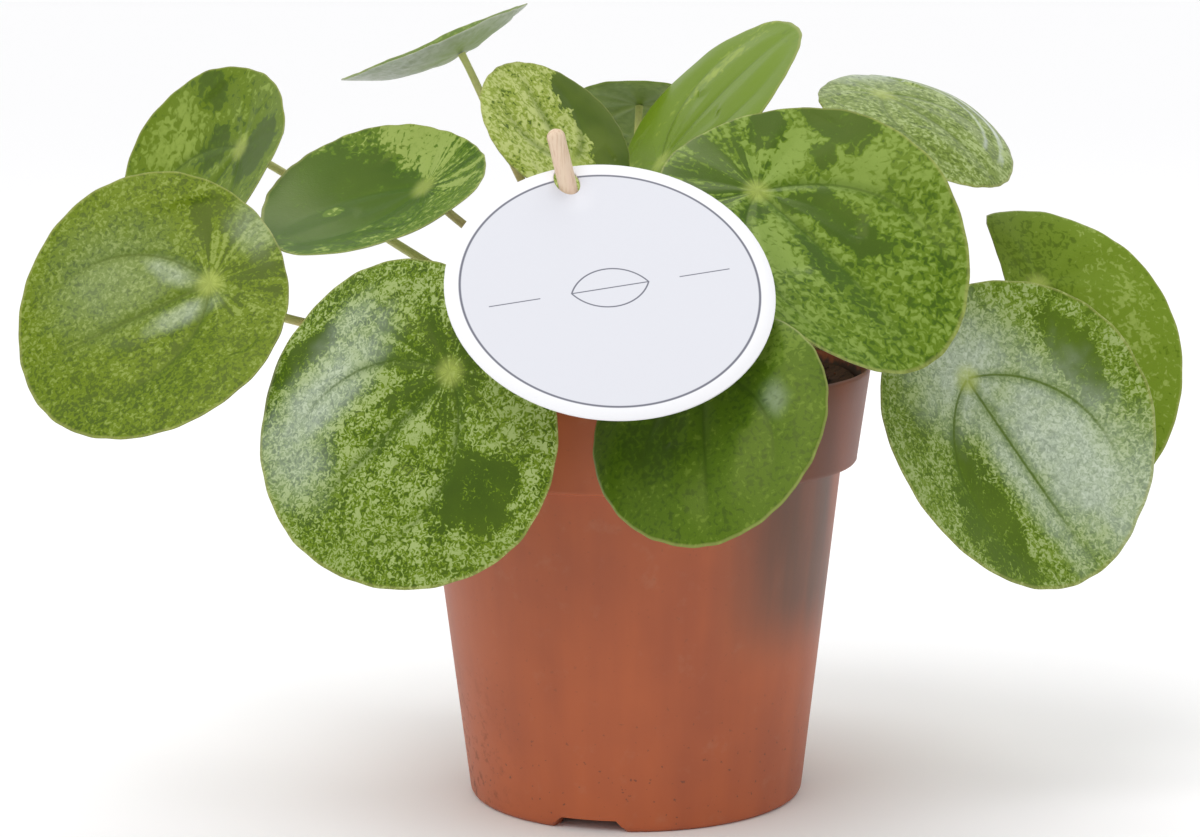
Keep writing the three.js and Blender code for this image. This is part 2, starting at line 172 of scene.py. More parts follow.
class Paint:
    """A material and the nodes that make it."""

    def __init__(self, name: str, constants: dict[str, Union[float, Colour]]) -> None:
        """Makes an empty material with one surface shader.

        Args:
            name: The material's name.
            constants: Values of the shader's sockets that are the same all over.
        """
        self.material = bpy.data.materials.new(name)
        self.material.use_nodes = True
        self.tree = self.material.node_tree
        self.tree.nodes.clear()
        output = self.tree.nodes.new("ShaderNodeOutputMaterial")
        self.shader = self.tree.nodes.new("ShaderNodeBsdfPrincipled")
        self.tree.links.new(self.shader.outputs["BSDF"], output.inputs["Surface"])
        for socket, value in constants.items():
            self.shader.inputs[socket].default_value = value

    def node(
        self,
        kind: str,
        settings: Optional[dict[str, Any]] = None,
        inputs: Optional[dict[Union[str, int], Input]] = None,
    ) -> bpy.types.Node:
        """Adds a node.

        Args:
            kind: Blender's name of the node's type.
            settings: The node's own settings, set first. "stops" fills a colour ramp.
            inputs: Values or signals for its sockets, by name or number.

        Returns:
            The new node.
        """
        made = self.tree.nodes.new(kind)
        for key, value in (settings or {}).items():
            if key == "stops":
                self._fill_ramp(made.color_ramp, value)
            else:
                setattr(made, key, value)
        for key, value in (inputs or {}).items():
            if isinstance(value, Signal):
                self.tree.links.new(value.socket, made.inputs[key])
            else:
                made.inputs[key].default_value = value
        return made

    @staticmethod
    def _fill_ramp(ramp: bpy.types.ColorRamp, stops: Sequence[tuple[float, Colour]]) -> None:
        """Sets a colour ramp's stops, each a place from 0 to 1 and a colour."""
        while len(ramp.elements) < len(stops):
            ramp.elements.new(1.0)
        for element, (place, colour) in zip(ramp.elements, stops):
            element.position = place
            element.color = colour

    def math(self, operation: str, *values: Value) -> Signal:
        """Returns a Math node's result on the values."""
        made = self.node("ShaderNodeMath", {"operation": operation}, dict(enumerate(values)))
        return Signal(self, made.outputs[0])

    def vector(self, operation: str, *vectors: Input) -> Signal:
        """Returns a Vector Math node's vector on the vectors."""
        made = self.node("ShaderNodeVectorMath", {"operation": operation}, dict(enumerate(vectors)))
        return Signal(self, made.outputs["Vector"])

    def measure(self, operation: str, *vectors: Input) -> Signal:
        """Returns a Vector Math node's number on the vectors, such as a length or a dot product."""
        made = self.node("ShaderNodeVectorMath", {"operation": operation}, dict(enumerate(vectors)))
        return Signal(self, made.outputs["Value"])

    def mix(self, share: Value, first: Input, second: Input, blend: str = "MIX") -> Signal:
        """Mixes two colours.

        Args:
            share: How much of the second colour shows, 0 to 1.
            first: The first colour.
            second: The second colour.
            blend: How they are mixed, such as MIX or MULTIPLY.

        Returns:
            The mixed colour.
        """
        settings = {"data_type": "RGBA", "blend_type": blend}
        made = self.node("ShaderNodeMix", settings, {0: share, 6: first, 7: second})
        return Signal(self, made.outputs[2])

    def ramp(self, share: Signal, stops: Sequence[tuple[float, Colour]]) -> Signal:
        """Returns the colour that a ramp of stops gives for share."""
        made = self.node("ShaderNodeValToRGB", {"stops": stops}, {"Fac": share})
        return Signal(self, made.outputs["Color"])

    def noise(
        self, place: Signal, scale: float, detail: float = 2.0, rough: float = 0.5, warp: float = 0.0
    ) -> Signal:
        """Returns cloudy noise.

        Args:
            place: Where the noise is read.
            scale: Blotches per unit of place.
            detail: How many finer layers it has.
            rough: How strong the finer layers are.
            warp: How far the blotches are twisted.

        Returns:
            The noise, around 0.5.
        """
        inputs = {"Vector": place, "Scale": scale, "Detail": detail, "Roughness": rough, "Distortion": warp}
        return Signal(self, self.node("ShaderNodeTexNoise", None, inputs).outputs["Fac"])

    def solid_place(self) -> Signal:
        """Returns the place in the object's own space, in metres."""
        return Signal(self, self.node("ShaderNodeTexCoord").outputs["Object"])

    def solid_millimetres(self) -> Signal:
        """Returns the place in the object's own space, in millimetres."""
        return self.vector("MULTIPLY", self.solid_place(), (1 / MM, 1 / MM, 1 / MM))

    def map_place(self, name: str) -> Signal:
        """Returns a UV map's coordinates."""
        return Signal(self, self.node("ShaderNodeUVMap", {"uv_map": name}).outputs["UV"])

    def plane_place(self, name: str, layer: float = 0.0) -> Signal:
        """Returns the place in a flat pattern.

        Args:
            name: The UV map that holds the pattern's place.
            layer: The third coordinate, which gives each piece its own noise.

        Returns:
            The place in millimetres.
        """
        half = -PLANE_SCALE / 2
        scaled = (PLANE_SCALE, PLANE_SCALE, 1.0)
        return self.vector("MULTIPLY_ADD", self.map_place(name), scaled, (half, half, layer))

    def split(self, place: Signal) -> tuple[Signal, Signal, Signal]:
        """Returns a vector's three coordinates."""
        made = self.node("ShaderNodeSeparateXYZ", None, {0: place})
        return Signal(self, made.outputs[0]), Signal(self, made.outputs[1]), Signal(self, made.outputs[2])

    def join(self, x: Value, y: Value, z: Value) -> Signal:
        """Returns a vector of three coordinates."""
        return Signal(self, self.node("ShaderNodeCombineXYZ", None, {0: x, 1: y, 2: z}).outputs[0])

    def colour(self, colour: Signal) -> None:
        """Sets the surface's colour."""
        self.tree.links.new(colour.socket, self.shader.inputs["Base Color"])

    def roughness(self, amount: Signal) -> None:
        """Sets how rough the surface is, where that varies."""
        self.tree.links.new(amount.socket, self.shader.inputs["Roughness"])

    def bump(self, height: Signal, depth: float, strength: float = 1.0) -> None:
        """Raises the surface by a height.

        Args:
            height: The height, 0 to 1.
            depth: How many millimetres a height of 1 stands for.
            strength: How strongly it shows.
        """
        inputs = {"Strength": strength, "Distance": depth * MM, "Height": height}
        made = self.node("ShaderNodeBump", None, inputs)
        self.tree.links.new(made.outputs["Normal"], self.shader.inputs["Normal"])


# Meshes


@dataclass
class Skin:
    """Points and faces that become one mesh, in millimetres."""

    points: np.ndarray
    faces: list[tuple[int, ...]]
    maps: dict[str, np.ndarray] = field(default_factory=dict)
    looks: Optional[np.ndarray] = None

    def joined(self, other: "Skin") -> "Skin":
        """Returns this skin and another as one, without maps."""
        offset = len(self.points)
        moved = [tuple(i + offset for i in face) for face in other.faces]
        return Skin(np.vstack([self.points, other.points]), self.faces + moved)

    def piece(
        self, name: str, materials: Sequence[bpy.types.Material], smooth: float = 40.0
    ) -> bpy.types.Object:
        """Makes the mesh's object.

        Args:
            name: The object's name.
            materials: Its materials. "looks" says which one each face takes.
            smooth: Edges that turn less than this, in degrees, look round.

        Returns:
            The object, linked to the scene.
        """
        mesh = bpy.data.meshes.new(name)
        mesh.from_pydata((self.points * MM).tolist(), [], self.faces)
        corners = np.zeros(len(mesh.loops), dtype=np.int32)
        mesh.loops.foreach_get("vertex_index", corners)
        for map_name, values in self.maps.items():
            layer = mesh.uv_layers.new(name=map_name)
            layer.data.foreach_set("uv", values[corners].astype(np.float32).ravel())
        for material in materials:
            mesh.materials.append(material)
        if self.looks is not None:
            mesh.polygons.foreach_set("material_index", self.looks.astype(np.int32))
        mesh.polygons.foreach_set("use_smooth", np.ones(len(mesh.polygons), dtype=bool))
        mesh.set_sharp_from_angle(angle=math.radians(smooth))
        mesh.update()
        made = bpy.data.objects.new(name, mesh)
        bpy.context.scene.collection.objects.link(made)
        return made


def turned(profile: Sequence[Pair], sides: int) -> Skin:
    """Turns a profile about Z into a closed skin.

    Args:
        profile: Radii and heights, up the outside and back to the axis, from the axis to the axis.
        sides: How many sides the skin has.

    Returns:
        The skin.
    """
    inner = profile[1:-1]
    turns = np.arange(sides) * 2 * np.pi / sides
    rows = [np.stack([r * np.cos(turns), r * np.sin(turns), np.full(sides, z)], axis=1) for r, z in inner]
    ends = np.array([[0, 0, profile[0][1]], [0, 0, profile[-1][1]]])
    points = np.vstack([ends[:1], *rows, ends[1:]])
    return Skin(points, tube_faces(len(inner), sides))


def tube_faces(rows: int, sides: int) -> list[tuple[int, ...]]:
    """Gives the faces over rows of points, with one point before the first row and one after the last.

    Args:
        rows: How many rows there are.
        sides: Points in each row.

    Returns:
        The faces, facing out.
    """
    faces: list[tuple[int, ...]] = []
    last = 1 + rows * sides
    for i in range(sides):
        j = (i + 1) % sides
        faces.append((0, 1 + j, 1 + i))
        for row in range(rows - 1):
            low, high = 1 + row * sides, 1 + (row + 1) * sides
            faces.append((low + i, low + j, high + j, high + i))
        top = 1 + (rows - 1) * sides
        faces.append((last, top + i, top + j))
    return faces


def unit(vector: np.ndarray) -> np.ndarray:
    """Returns vectors of length one."""
    return vector / np.linalg.norm(vector, axis=-1, keepdims=True)


def wave_noise(points: np.ndarray, size: float, seed: int, waves: int = 14) -> np.ndarray:
    """Gives smooth, repeatable noise as a sum of waves.

    Args:
        points: Where it is read, in millimetres.
        size: The length of a typical wave, in millimetres.
        seed: Which pattern it is.
        waves: How many waves are added.

    Returns:
        A value for each point, mostly from -1 to 1.
    """
    chance = np.random.default_rng(seed)
    ways = unit(chance.normal(size=(waves, points.shape[-1])))
    lengths = size * chance.uniform(0.6, 1.6, size=waves)
    starts = chance.uniform(0, 2 * np.pi, size=waves)
    total = np.zeros(points.shape[:-1])
    for way, length, start in zip(ways, lengths, starts):
        total += np.sin(points @ way * 2 * np.pi / length + start)
    return total * math.sqrt(2 / waves) * 0.7


def settle(piece: bpy.types.Object, slot: str, *nodes: str) -> bpy.types.Object:
    """Ties a piece to the model.

    Args:
        piece: The piece.
        slot: The record's material slot that it is finished as. Not used.
        nodes: The solids that it stands for.

    Returns:
        The piece.
    """
    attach(piece, "root")
    if nodes:
        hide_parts(*nodes)
    LOG.info("%s: %d faces", piece.name, len(piece.data.polygons))
    return piece


# The pot


@dataclass(frozen=True)
class PotFinish:
    """Satin terracotta-coloured plastic with a painted dark reflection down one side and painted shade on the
    collar there, a little soiled at its foot and darker inside its rim.

    The inside of the rim is told from the outside by its reach less its slope, which is rim_middle half way
    through the wall.
    """

    body: Colour = tone(177, 90, 48)
    deep: Colour = tone(160, 80, 46)
    dust: Colour = tone(176, 128, 100)
    soil: Colour = tone(88, 58, 44)
    dark_reflection_tone: Colour = tone(96, 70, 56)
    wear_and_shade: Colour = tone(112, 56, 34)
    peat: Colour = tone(44, 30, 24)
    rim_slope: float = 3.2 / 24
    rim_middle: float = 44.7

    def material(self) -> bpy.types.Material:
        """Returns the material."""
        paint = Paint("pot plastic", {"Coat Weight": 0.06, "Coat Roughness": 0.3, "Specular IOR Level": 0.45})
        place = paint.solid_millimetres()
        across, back, up = paint.split(place)
        front = back.rise(20.0, 0.0)
        clouds = paint.noise(place, 0.03, 3.0)
        upright = paint.noise(paint.join(across, back, up * 0.08), 0.12, 3.0)
        grain = paint.noise(place, 1.3, 3.0, 0.6)
        colour = paint.mix((clouds * 0.6 + upright * 0.4).rise(0.35, 0.7), self.body, self.deep)
        veil = paint.noise(place, 0.16, 5.0, 0.65).rise(0.56, 0.8) * 0.22
        colour = paint.mix(veil, colour, self.dust)
        # Painted dark reflection in vertical streaks down the right of the front wall.
        painted_reflection = across.rise(14.0, 36.0) * across.rise(52.0, 47.0) * up.rise(34.0, 58.0) * front
        colour = paint.mix(painted_reflection * (0.5 + 0.6 * upright), colour, self.dark_reflection_tone)
        # Painted shade on the collar's right front, where the leaves above shade it.
        wear_and_shade = across.rise(26.0, 46.0) * up.rise(85.0, 87.0) * front
        colour = paint.mix(wear_and_shade * 0.6, colour, self.wear_and_shade)
        reach = paint.measure("LENGTH", paint.join(across, back, 0.0)) - up * self.rim_slope
        # Darker inside the rim, up to the lip.
        inside = reach.rise(self.rim_middle + 0.3, self.rim_middle - 0.3) * up.rise(90.0, 94.0)
        darker_inside = inside * (up + 6 * paint.noise(place, 0.25, 3.0)).rise(112.0, 110.0)
        colour = paint.mix(darker_inside * 0.92, colour, self.peat)
        low = up.rise(46.0, 4.0)
        left = across.rise(-26.0, -44.0)
        smear = paint.noise(place, 0.35, 4.0, 0.7).rise(0.5, 0.66) * low * left
        specks = paint.noise(place, 0.9, 1.0).rise(0.7, 0.76) * (0.25 + 0.75 * low)
        colour = paint.mix((smear * 0.6 + specks * 0.7).least(1.0), colour, self.soil)
        paint.colour(colour)
        paint.roughness(0.4 + 0.14 * clouds + 0.08 * grain + 0.2 * smear)
        paint.bump(grain * 0.5 + upright * 0.5, 0.06, 0.5)
        return paint.material


@dataclass(frozen=True)
class Pot:
    """A 12 cm nursery pot whose wall steps out into a collar under the rim."""

    height: float = 110.0
    rim_radius: float = 60.0
    wall: float = 1.3
    foot_radius: float = 42.8
    shoulder_radius: float = 52.8
    collar_radius: float = 56.8
    collar_height: float = 24.0
    floor_rise: float = 3.4
    floor_thickness: float = 1.4
    foot_ring: float = 5.0
    hub_radius: float = 12.0
    notch_width: float = 17.0
    notch_height: float = 3.0
    notch_count: int = 3
    notch_azimuth: float = -107.0
    drain_count: int = 8
    drain_radius: float = 4.0
    drain_circle: float = 25.0
    drain_sides: int = 32
    smooth_below: float = 35.0
    sides: int = 192

    @property
    def shoulder(self) -> float:
        """The height where the collar starts."""
        return self.height - self.collar_height

    def inner_collar(self, z: float) -> float:
        """Returns the radius inside the collar at a height."""
        slope = (self.rim_radius - self.collar_radius) / self.collar_height
        return self.collar_radius + slope * (z - self.shoulder) - self.wall

    def inner_wall(self, z: float) -> float:
        """Returns the radius inside the wall at a height."""
        slope = (self.shoulder_radius - self.foot_radius) / self.shoulder
        return self.foot_radius + slope * z - self.wall

    def profile(self) -> list[Pair]:
        """Returns the outline of the pot's wall and floor, with its small roundings."""
        ring = self.foot_radius - self.foot_ring
        floor = self.floor_rise + self.floor_thickness
        shoulder, rim, top = self.shoulder, self.rim_radius, self.height
        steps = 10
        wall = [
            (self.foot_radius + 0.1 + (self.shoulder_radius - self.foot_radius - 0.1) * k / steps, z)
            for k, z in enumerate(np.linspace(1.8, shoulder - 0.6, steps + 1).tolist())
        ]
        collar = [
            (self.collar_radius + (rim - self.collar_radius) * k / 4, z)
            for k, z in enumerate(np.linspace(shoulder + 1.4, top - 1.0, 5).tolist())
        ]
        return [
            (0, 0),
            (self.hub_radius - 0.4, 0),
            (self.hub_radius + 0.2, 0.4),
            (self.hub_radius + 1.3, self.floor_rise - 0.4),
            (self.hub_radius + 2.0, self.floor_rise),
            (ring - 1.6, self.floor_rise),
            (ring - 0.8, self.floor_rise - 0.4),
            (ring - 0.3, 0.5),
            (ring + 0.2, 0),
            (self.foot_radius - 1.8, 0),
            (self.foot_radius - 1.0, 0.1),
            (self.foot_radius - 0.4, 0.5),
            (self.foot_radius - 0.05, 1.1),
            *wall,
            (self.shoulder_radius + 0.15, shoulder - 0.1),
            (self.shoulder_radius + 0.6, shoulder + 0.1),
            (self.collar_radius - 1.0, shoulder + 0.2),
            (self.collar_radius - 0.35, shoulder + 0.4),
            (self.collar_radius - 0.05, shoulder + 0.8),
            *collar,
            (rim - 0.1, top - 0.5),
            (rim - 0.35, top - 0.12),
            (rim - 0.65, top),
            (rim - 0.95, top - 0.1),
            (rim - self.wall, top - 0.4),
            (self.inner_collar(shoulder + 3), shoulder + 3),
            (self.inner_collar(shoulder + 2) - 0.8, shoulder + 1.9),
            (self.inner_wall(shoulder), shoulder + 0.9),
            (self.inner_wall(floor + 3), floor + 3),
            (self.inner_wall(floor + 1) - 0.4, floor + 1),
            (self.inner_wall(floor) - 1.8, floor),
            (0, floor),
        ]

    def skin(self) -> Skin:
        """Returns the pot's skin, with the notches in its foot."""
        skin = turned(self.profile(), self.sides)
        reach = np.hypot(skin.points[:, 0], skin.points[:, 1])
        azimuth = np.degrees(np.arctan2(skin.points[:, 1], skin.points[:, 0]))
        half = math.degrees(self.notch_width / 2 / self.foot_radius)
        foot = reach > self.foot_radius - self.foot_ring - 1.5
        for k in range(self.notch_count):
            away = (azimuth - self.notch_azimuth - 360 * k / self.notch_count + 180) % 360 - 180
            lift = np.clip((half + 1.0 - np.abs(away)) / 2.0, 0, 1) * self.notch_height
            low = foot & (skin.points[:, 2] < self.notch_height)
            skin.points[low, 2] = np.maximum(skin.points[low, 2], lift[low])
        return skin

    def drained(self, piece: bpy.types.Object) -> None:
        """Cuts the drain holes through the floor."""
        drills = Skin(np.zeros((0, 3)), [])
        for k in range(self.drain_count):
            turn = 2 * math.pi * k / self.drain_count
            top = self.floor_rise + self.floor_thickness + 1
            outline = [(0, -1), (self.drain_radius, -1), (self.drain_radius, top), (0, top)]
            drill = turned(outline, self.drain_sides)
            drill.points += self.drain_circle * np.array([math.cos(turn), math.sin(turn), 0.0])
            drills = drills.joined(drill)
        cutter = drills.piece("drills", [])
        cut = piece.modifiers.new("drain holes", "BOOLEAN")
        cut.operation = "DIFFERENCE"
        cut.solver = "EXACT"
        cut.object = cutter
        graph = bpy.context.evaluated_depsgraph_get()
        whole = bpy.data.meshes.new_from_object(piece.evaluated_get(graph))
        piece.modifiers.clear()
        old = piece.data
        piece.data = whole
        bpy.data.meshes.remove(old)
        bpy.data.objects.remove(cutter)
        whole.set_sharp_from_angle(angle=math.radians(self.smooth_below))

    def build(self, finish: PotFinish) -> bpy.types.Object:
        """Builds and dresses the pot."""
        piece = self.skin().piece("nursery_pot", [finish.material()], self.smooth_below)
        self.drained(piece)
        return settle(piece, "pot", "pot")


# The soil


@dataclass(frozen=True)
class SoilFinish:
    """Dark peat with brown bark and a few pale grains."""

    dark: Colour = tone(38, 26, 20)
    brown: Colour = tone(78, 52, 38)
    bark: Colour = tone(120, 76, 52)
    grain: Colour = tone(176, 158, 136)

    def material(self) -> bpy.types.Material:
        """Returns the soil's material."""
        paint = Paint("potting soil", {"Roughness": 0.95, "Specular IOR Level": 0.25})
        place = paint.solid_place()
        lumps = paint.noise(place, 260.0, 4.0, 0.65)
        fibres = paint.noise(place, 900.0, 3.0, 0.6, 1.2)
        colour = paint.ramp(lumps, [(0.36, self.dark), (0.54, self.brown), (0.7, self.dark)])
        colour = paint.mix(fibres.rise(0.62, 0.7) * 0.6, colour, self.bark)
        paint.colour(colour)
        paint.bump(lumps * 0.7 + fibres * 0.3, 0.5, 0.9)
        return paint.material

    def crumb_material(self) -> bpy.types.Material:
        """Returns the material of loose crumbs, whose colour changes from crumb to crumb."""
        paint = Paint("soil crumbs", {"Roughness": 0.9, "Specular IOR Level": 0.3})
        hue, _, _ = paint.split(paint.map_place("CrumbHue"))
        stops = [
            (0.0, self.dark),
            (0.5, self.brown),
            (0.82, self.bark),
            (0.93, self.bark),
            (0.96, self.grain),
        ]
        fine = paint.noise(paint.solid_place(), 1500.0, 3.0, 0.6)
        colour = paint.mix(fine.rise(0.4, 0.65) * 0.45, paint.ramp(hue, stops), self.dark)
        paint.colour(colour)
        paint.bump(fine, 0.15, 0.8)
        return paint.material


@dataclass(frozen=True)
class Soil:
    """The root ball, a little under the rim, with a rough top, loose crumbs and a low bank at one side."""

    pot: Pot
    top: float = 99.0
    relief: float = 0.9
    crown: float = 1.5
    bank: float = 8.0
    bank_azimuth: float = 22.0
    bank_spread: float = 44.0
    gap: float = 0.3
    sides: int = 144
    rings: int = 52
    lumps: int = 170
    crumbs: int = 1100

    @property
    def edge(self) -> float:
        """The radius where the top ends."""
        return self.pot.inner_collar(self.top) - self.gap

    def height(self, reach: np.ndarray, azimuth: np.ndarray) -> np.ndarray:
        """Returns the height of the ground at polar places, in millimetres."""
        x, y = reach * np.cos(azimuth), reach * np.sin(azimuth)
        calm = 1 - (reach / self.edge) ** 6
        rough = np.sin(0.31 * x + 1.3) * np.cos(0.37 * y - 0.4) + 0.5 * np.sin(0.83 * y + 0.61 * x)
        turn = (np.degrees(azimuth) - self.bank_azimuth + 180) % 360 - 180
        bank = self.bank * np.clip(reach / self.edge, 0, 1) ** 5 * np.exp(-((turn / self.bank_spread) ** 2))
        places = np.stack([x, y], axis=-1)
        crumbly = 0.45 * wave_noise(places, 5.0, 3) + 0.3 * wave_noise(places, 2.6, 4)
        ground = self.top + self.crown * (1 - (reach / self.edge) ** 2) + bank
        return ground + (self.relief * rough + crumbly) * calm

    def skin(self) -> Skin:
        """Returns the root ball's skin."""
        pot, gap = self.pot, self.gap
        foot = pot.floor_rise + pot.floor_thickness + gap
        shoulder = pot.shoulder + 3
        wall = [
            (pot.inner_wall(foot) - 2, foot),
            (pot.inner_wall(foot + 2) - 0.5, foot + 2.4),
            (pot.inner_wall(pot.shoulder) - gap, pot.shoulder + 1),
            (pot.inner_collar(shoulder) - 1.2, shoulder + 0.3),
            (pot.inner_collar(shoulder + 1) - gap, shoulder + 1),
        ]
        azimuth = np.arange(self.sides) * 2 * np.pi / self.sides

        def round_row(reach: float, heights: np.ndarray) -> np.ndarray:
            """Returns a ring of points at a reach and heights."""
            return np.stack([reach * np.cos(azimuth), reach * np.sin(azimuth), heights], axis=1)

        rows = [round_row(reach, np.full(self.sides, z)) for reach, z in wall]
        for reach in np.linspace(self.edge, self.edge / self.rings, self.rings):
            rows.append(round_row(reach, self.height(np.full(self.sides, reach), azimuth)))
        middle = self.height(np.array([0.0]), np.array([0.0]))[0]
        points = np.vstack([[[0, 0, foot]], *rows, [[0, 0, middle]]])
        return Skin(points, tube_faces(len(rows), self.sides))

    def crumb_skin(self) -> Skin:
        """Returns loose crumbs and bark, each a small uneven lump lying on the ground."""
        chance = np.random.default_rng(8)
        ball, faces = self._lump()
        points, corners, hues = [], [], []
        for k in range(self.lumps + self.crumbs):
            large = k < self.lumps
            radius = chance.uniform(1.0, 2.3) if large else chance.uniform(0.35, 0.9)
            reach = (self.edge - radius - 0.6) * math.sqrt(chance.uniform(0.02, 1))
            azimuth = chance.uniform(-math.pi, math.pi)
            shape = ball * chance.uniform(0.75, 1.25, size=(len(ball), 1))
            shape = shape * np.array([1.0, chance.uniform(0.5, 0.9), chance.uniform(0.35, 0.7)]) * radius
            spin = Matrix.Rotation(chance.uniform(0, 6.3), 3, "Z")
            lean = Matrix.Rotation(chance.uniform(-0.5, 0.5), 3, "X")
            shape = shape @ np.array(spin @ lean).T
            ground = self.height(np.array([reach]), np.array([azimuth]))[0]
            lift = chance.uniform(-0.1, 0.35) * radius
            shape += np.array([reach * math.cos(azimuth), reach * math.sin(azimuth), ground + lift])
            corners += [tuple(i + len(ball) * k for i in face) for face in faces]
            points.append(shape)
            hues.append(np.full((len(ball), 2), chance.uniform(0, 1)))
        return Skin(np.vstack(points), corners, {"CrumbHue": np.vstack(hues)})

    @staticmethod
    def _lump() -> tuple[np.ndarray, list[tuple[int, ...]]]:
        """Returns a ball of twelve points and its faces."""
        long = (1 + math.sqrt(5)) / 2
        flat = [(-1, long, 0), (1, long, 0), (-1, -long, 0), (1, -long, 0)]
        points = flat + [(z, x, y) for x, y, z in flat] + [(y, z, x) for x, y, z in flat]
        ball = unit(np.array(points, dtype=float))
        longest = 1.2
        faces = []
        for a, b, c in combinations(range(len(ball)), 3):
            three = ball[[a, b, c]]
            if max(np.linalg.norm(three[i] - three[i - 1]) for i in range(3)) < longest:
                out = np.cross(three[1] - three[0], three[2] - three[0]) @ three[0] > 0
                faces.append((a, b, c) if out else (a, c, b))
        return ball, faces

    def build(self, finish: SoilFinish) -> list[bpy.types.Object]:
        """Builds and dresses the soil and its crumbs."""
        ground = settle(self.skin().piece("root_ball", [finish.material()], 60.0), "soil", "soil")
        crumbs = settle(self.crumb_skin().piece("soil_crumbs", [finish.crumb_material()], 30.0), "soil")
        return [ground, crumbs]


# The stem


@dataclass(frozen=True)
class StemFinish:
    """Dull brown-green bark with paler leaf scars."""

    bark: Colour = tone(104, 88, 58)
    shade: Colour = tone(70, 56, 38)
    scar: Colour = tone(150, 132, 92)
    green: Colour = tone(126, 134, 70)

    def material(self) -> bpy.types.Material:
        """Returns the material."""
        paint = Paint("stem bark", {"Specular IOR Level": 0.35})
        place = paint.solid_millimetres()
        _, _, up = paint.split(place)
        flecks = paint.noise(place, 0.9, 4.0, 0.6)
        scars = paint.noise(place, 0.45, 2.0, 0.5, 0.6).rise(0.58, 0.66)
        colour = paint.mix(flecks.rise(0.35, 0.65), self.shade, self.bark)
        colour = paint.mix(up.rise(112.0, 130.0) * 0.8, colour, self.green)
        colour = paint.mix(scars * 0.6, colour, self.scar)
        paint.colour(colour)
        paint.roughness(0.6 + 0.25 * flecks)
        paint.bump(flecks, 0.3, 0.8)
        return paint.material


@dataclass(frozen=True)
class Stem:
    """The short upright stem, knobbly where the leaf stalks leave it, with a bud at its top."""

    soil_top: float = 99.0
    depth: float = 24.0
    top: float = 130.0
    foot_radius: float = 4.6
    tip_radius: float = 2.6
    knob_height: float = 2.6
    knob_rise: float = 0.35
    bud_radius: float = 2.2
    bud_length: float = 9.0
    scale_radius: float = 1.1
    scale_length: float = 5.0
    scale_lean: float = 0.22
    scale_out: float = 0.75
    gap: float = 0.3
    sides: int = 40

    def radius(self, z: float) -> float:
        """Returns the stem's radius at a height."""
        share = min(max((z - self.soil_top) / (self.top - self.soil_top), 0.0), 1.0)
        knob = math.cos(2 * math.pi * (z - self.soil_top) / self.knob_height)
        plain = self.foot_radius - self.knob_rise
        return plain + (self.tip_radius - plain) * share + self.knob_rise * knob

    def reach(self, node: float) -> float:
        """Returns how far out the stem comes where a stalk's foot covers it."""
        return max(self.radius(node + step) for step in range(-3, 4))

    def skin(self) -> Skin:
        """Returns the stem's skin."""
        foot = self.soil_top - self.depth
        rows = [(0.0, foot), (self.foot_radius - 1.5, foot), (self.foot_radius - 0.2, foot + 3)]
        rows.append((self.foot_radius - 0.2, self.soil_top - 1))
        heights = np.linspace(self.soil_top, self.top, 72).tolist()
        rows += [(self.radius(z) - 0.05, z) for z in heights]
        rows += [(self.tip_radius * 0.6, self.top + 0.7), (0.0, self.top + 1)]
        skin = turned(rows, self.sides)
        out = unit(skin.points * np.array([1, 1, 0]) + 1e-9)
        dents = np.minimum(0, wave_noise(skin.points, 3.4, 21)) * 0.35
        skin.points += out * dents[:, None]
        return skin

    def bud_skin(self) -> Skin:
        """Returns the bud: a rolled young leaf with two short scales round its foot."""
        base = self.top + 1 + self.gap
        steps = 18
        shares = np.linspace(0, 1, steps).tolist()
        radii = [self.bud_radius * 0.8 * math.sin(math.pi * s**0.8) for s in shares]
        outline = [(radius, base + self.bud_length * s) for radius, s in zip(radii, shares)]
        outline[0], outline[-1] = (0.0, base), (0.0, base + self.bud_length)
        whole = turned(outline, 24)
        for side in (-1, 1):
            husk = [(self.scale_radius * math.sin(math.pi * s**0.7), self.scale_length * s) for s in shares]
            husk[-1] = (0.0, self.scale_length)
            scale = turned(husk, 16)
            lean = np.array(Matrix.Rotation(self.scale_lean * side, 3, "Y"))
            scale.points = scale.points @ lean.T + np.array([self.scale_out * side, 0, base])
            whole = whole.joined(scale)
        return whole

    def build(self, finish: StemFinish, green: bpy.types.Material) -> list[bpy.types.Object]:
        """Builds and dresses the stem and its bud."""
        stem = settle(self.skin().piece("main_stem", [finish.material()], 60.0), "stem", "stem")
        bud = settle(self.bud_skin().piece("young_bud", [green], 60.0), "bud", "bud")
        return [stem, bud]


# The leaves


class Mark(Enum):
    """What a patch of a leaf does to its pattern."""

    DEEP = "solid dark green"
    PALE = "solid pale green"
    # Painted highlight: pale lines along the margin where a domed blade catches the light.
    HOOP = "glossy lines that run along the margin"
    # Painted reflection: bluish-white sheen of the soft light on the waxy top.
    PAINTED_SHEEN = "waxy bloom that looks bluish white"
    STREAKS = "streaks that run out from the stalk"


@dataclass(frozen=True)
class Patch:
    """A patch of a leaf's pattern. Places are millimetres from the stalk, towards the tip and to the side."""

    mark: Mark
    at: Pair
    size: Pair
    amount: float = 0.4
    turn: float = 0.0
    soft: float = 0.5


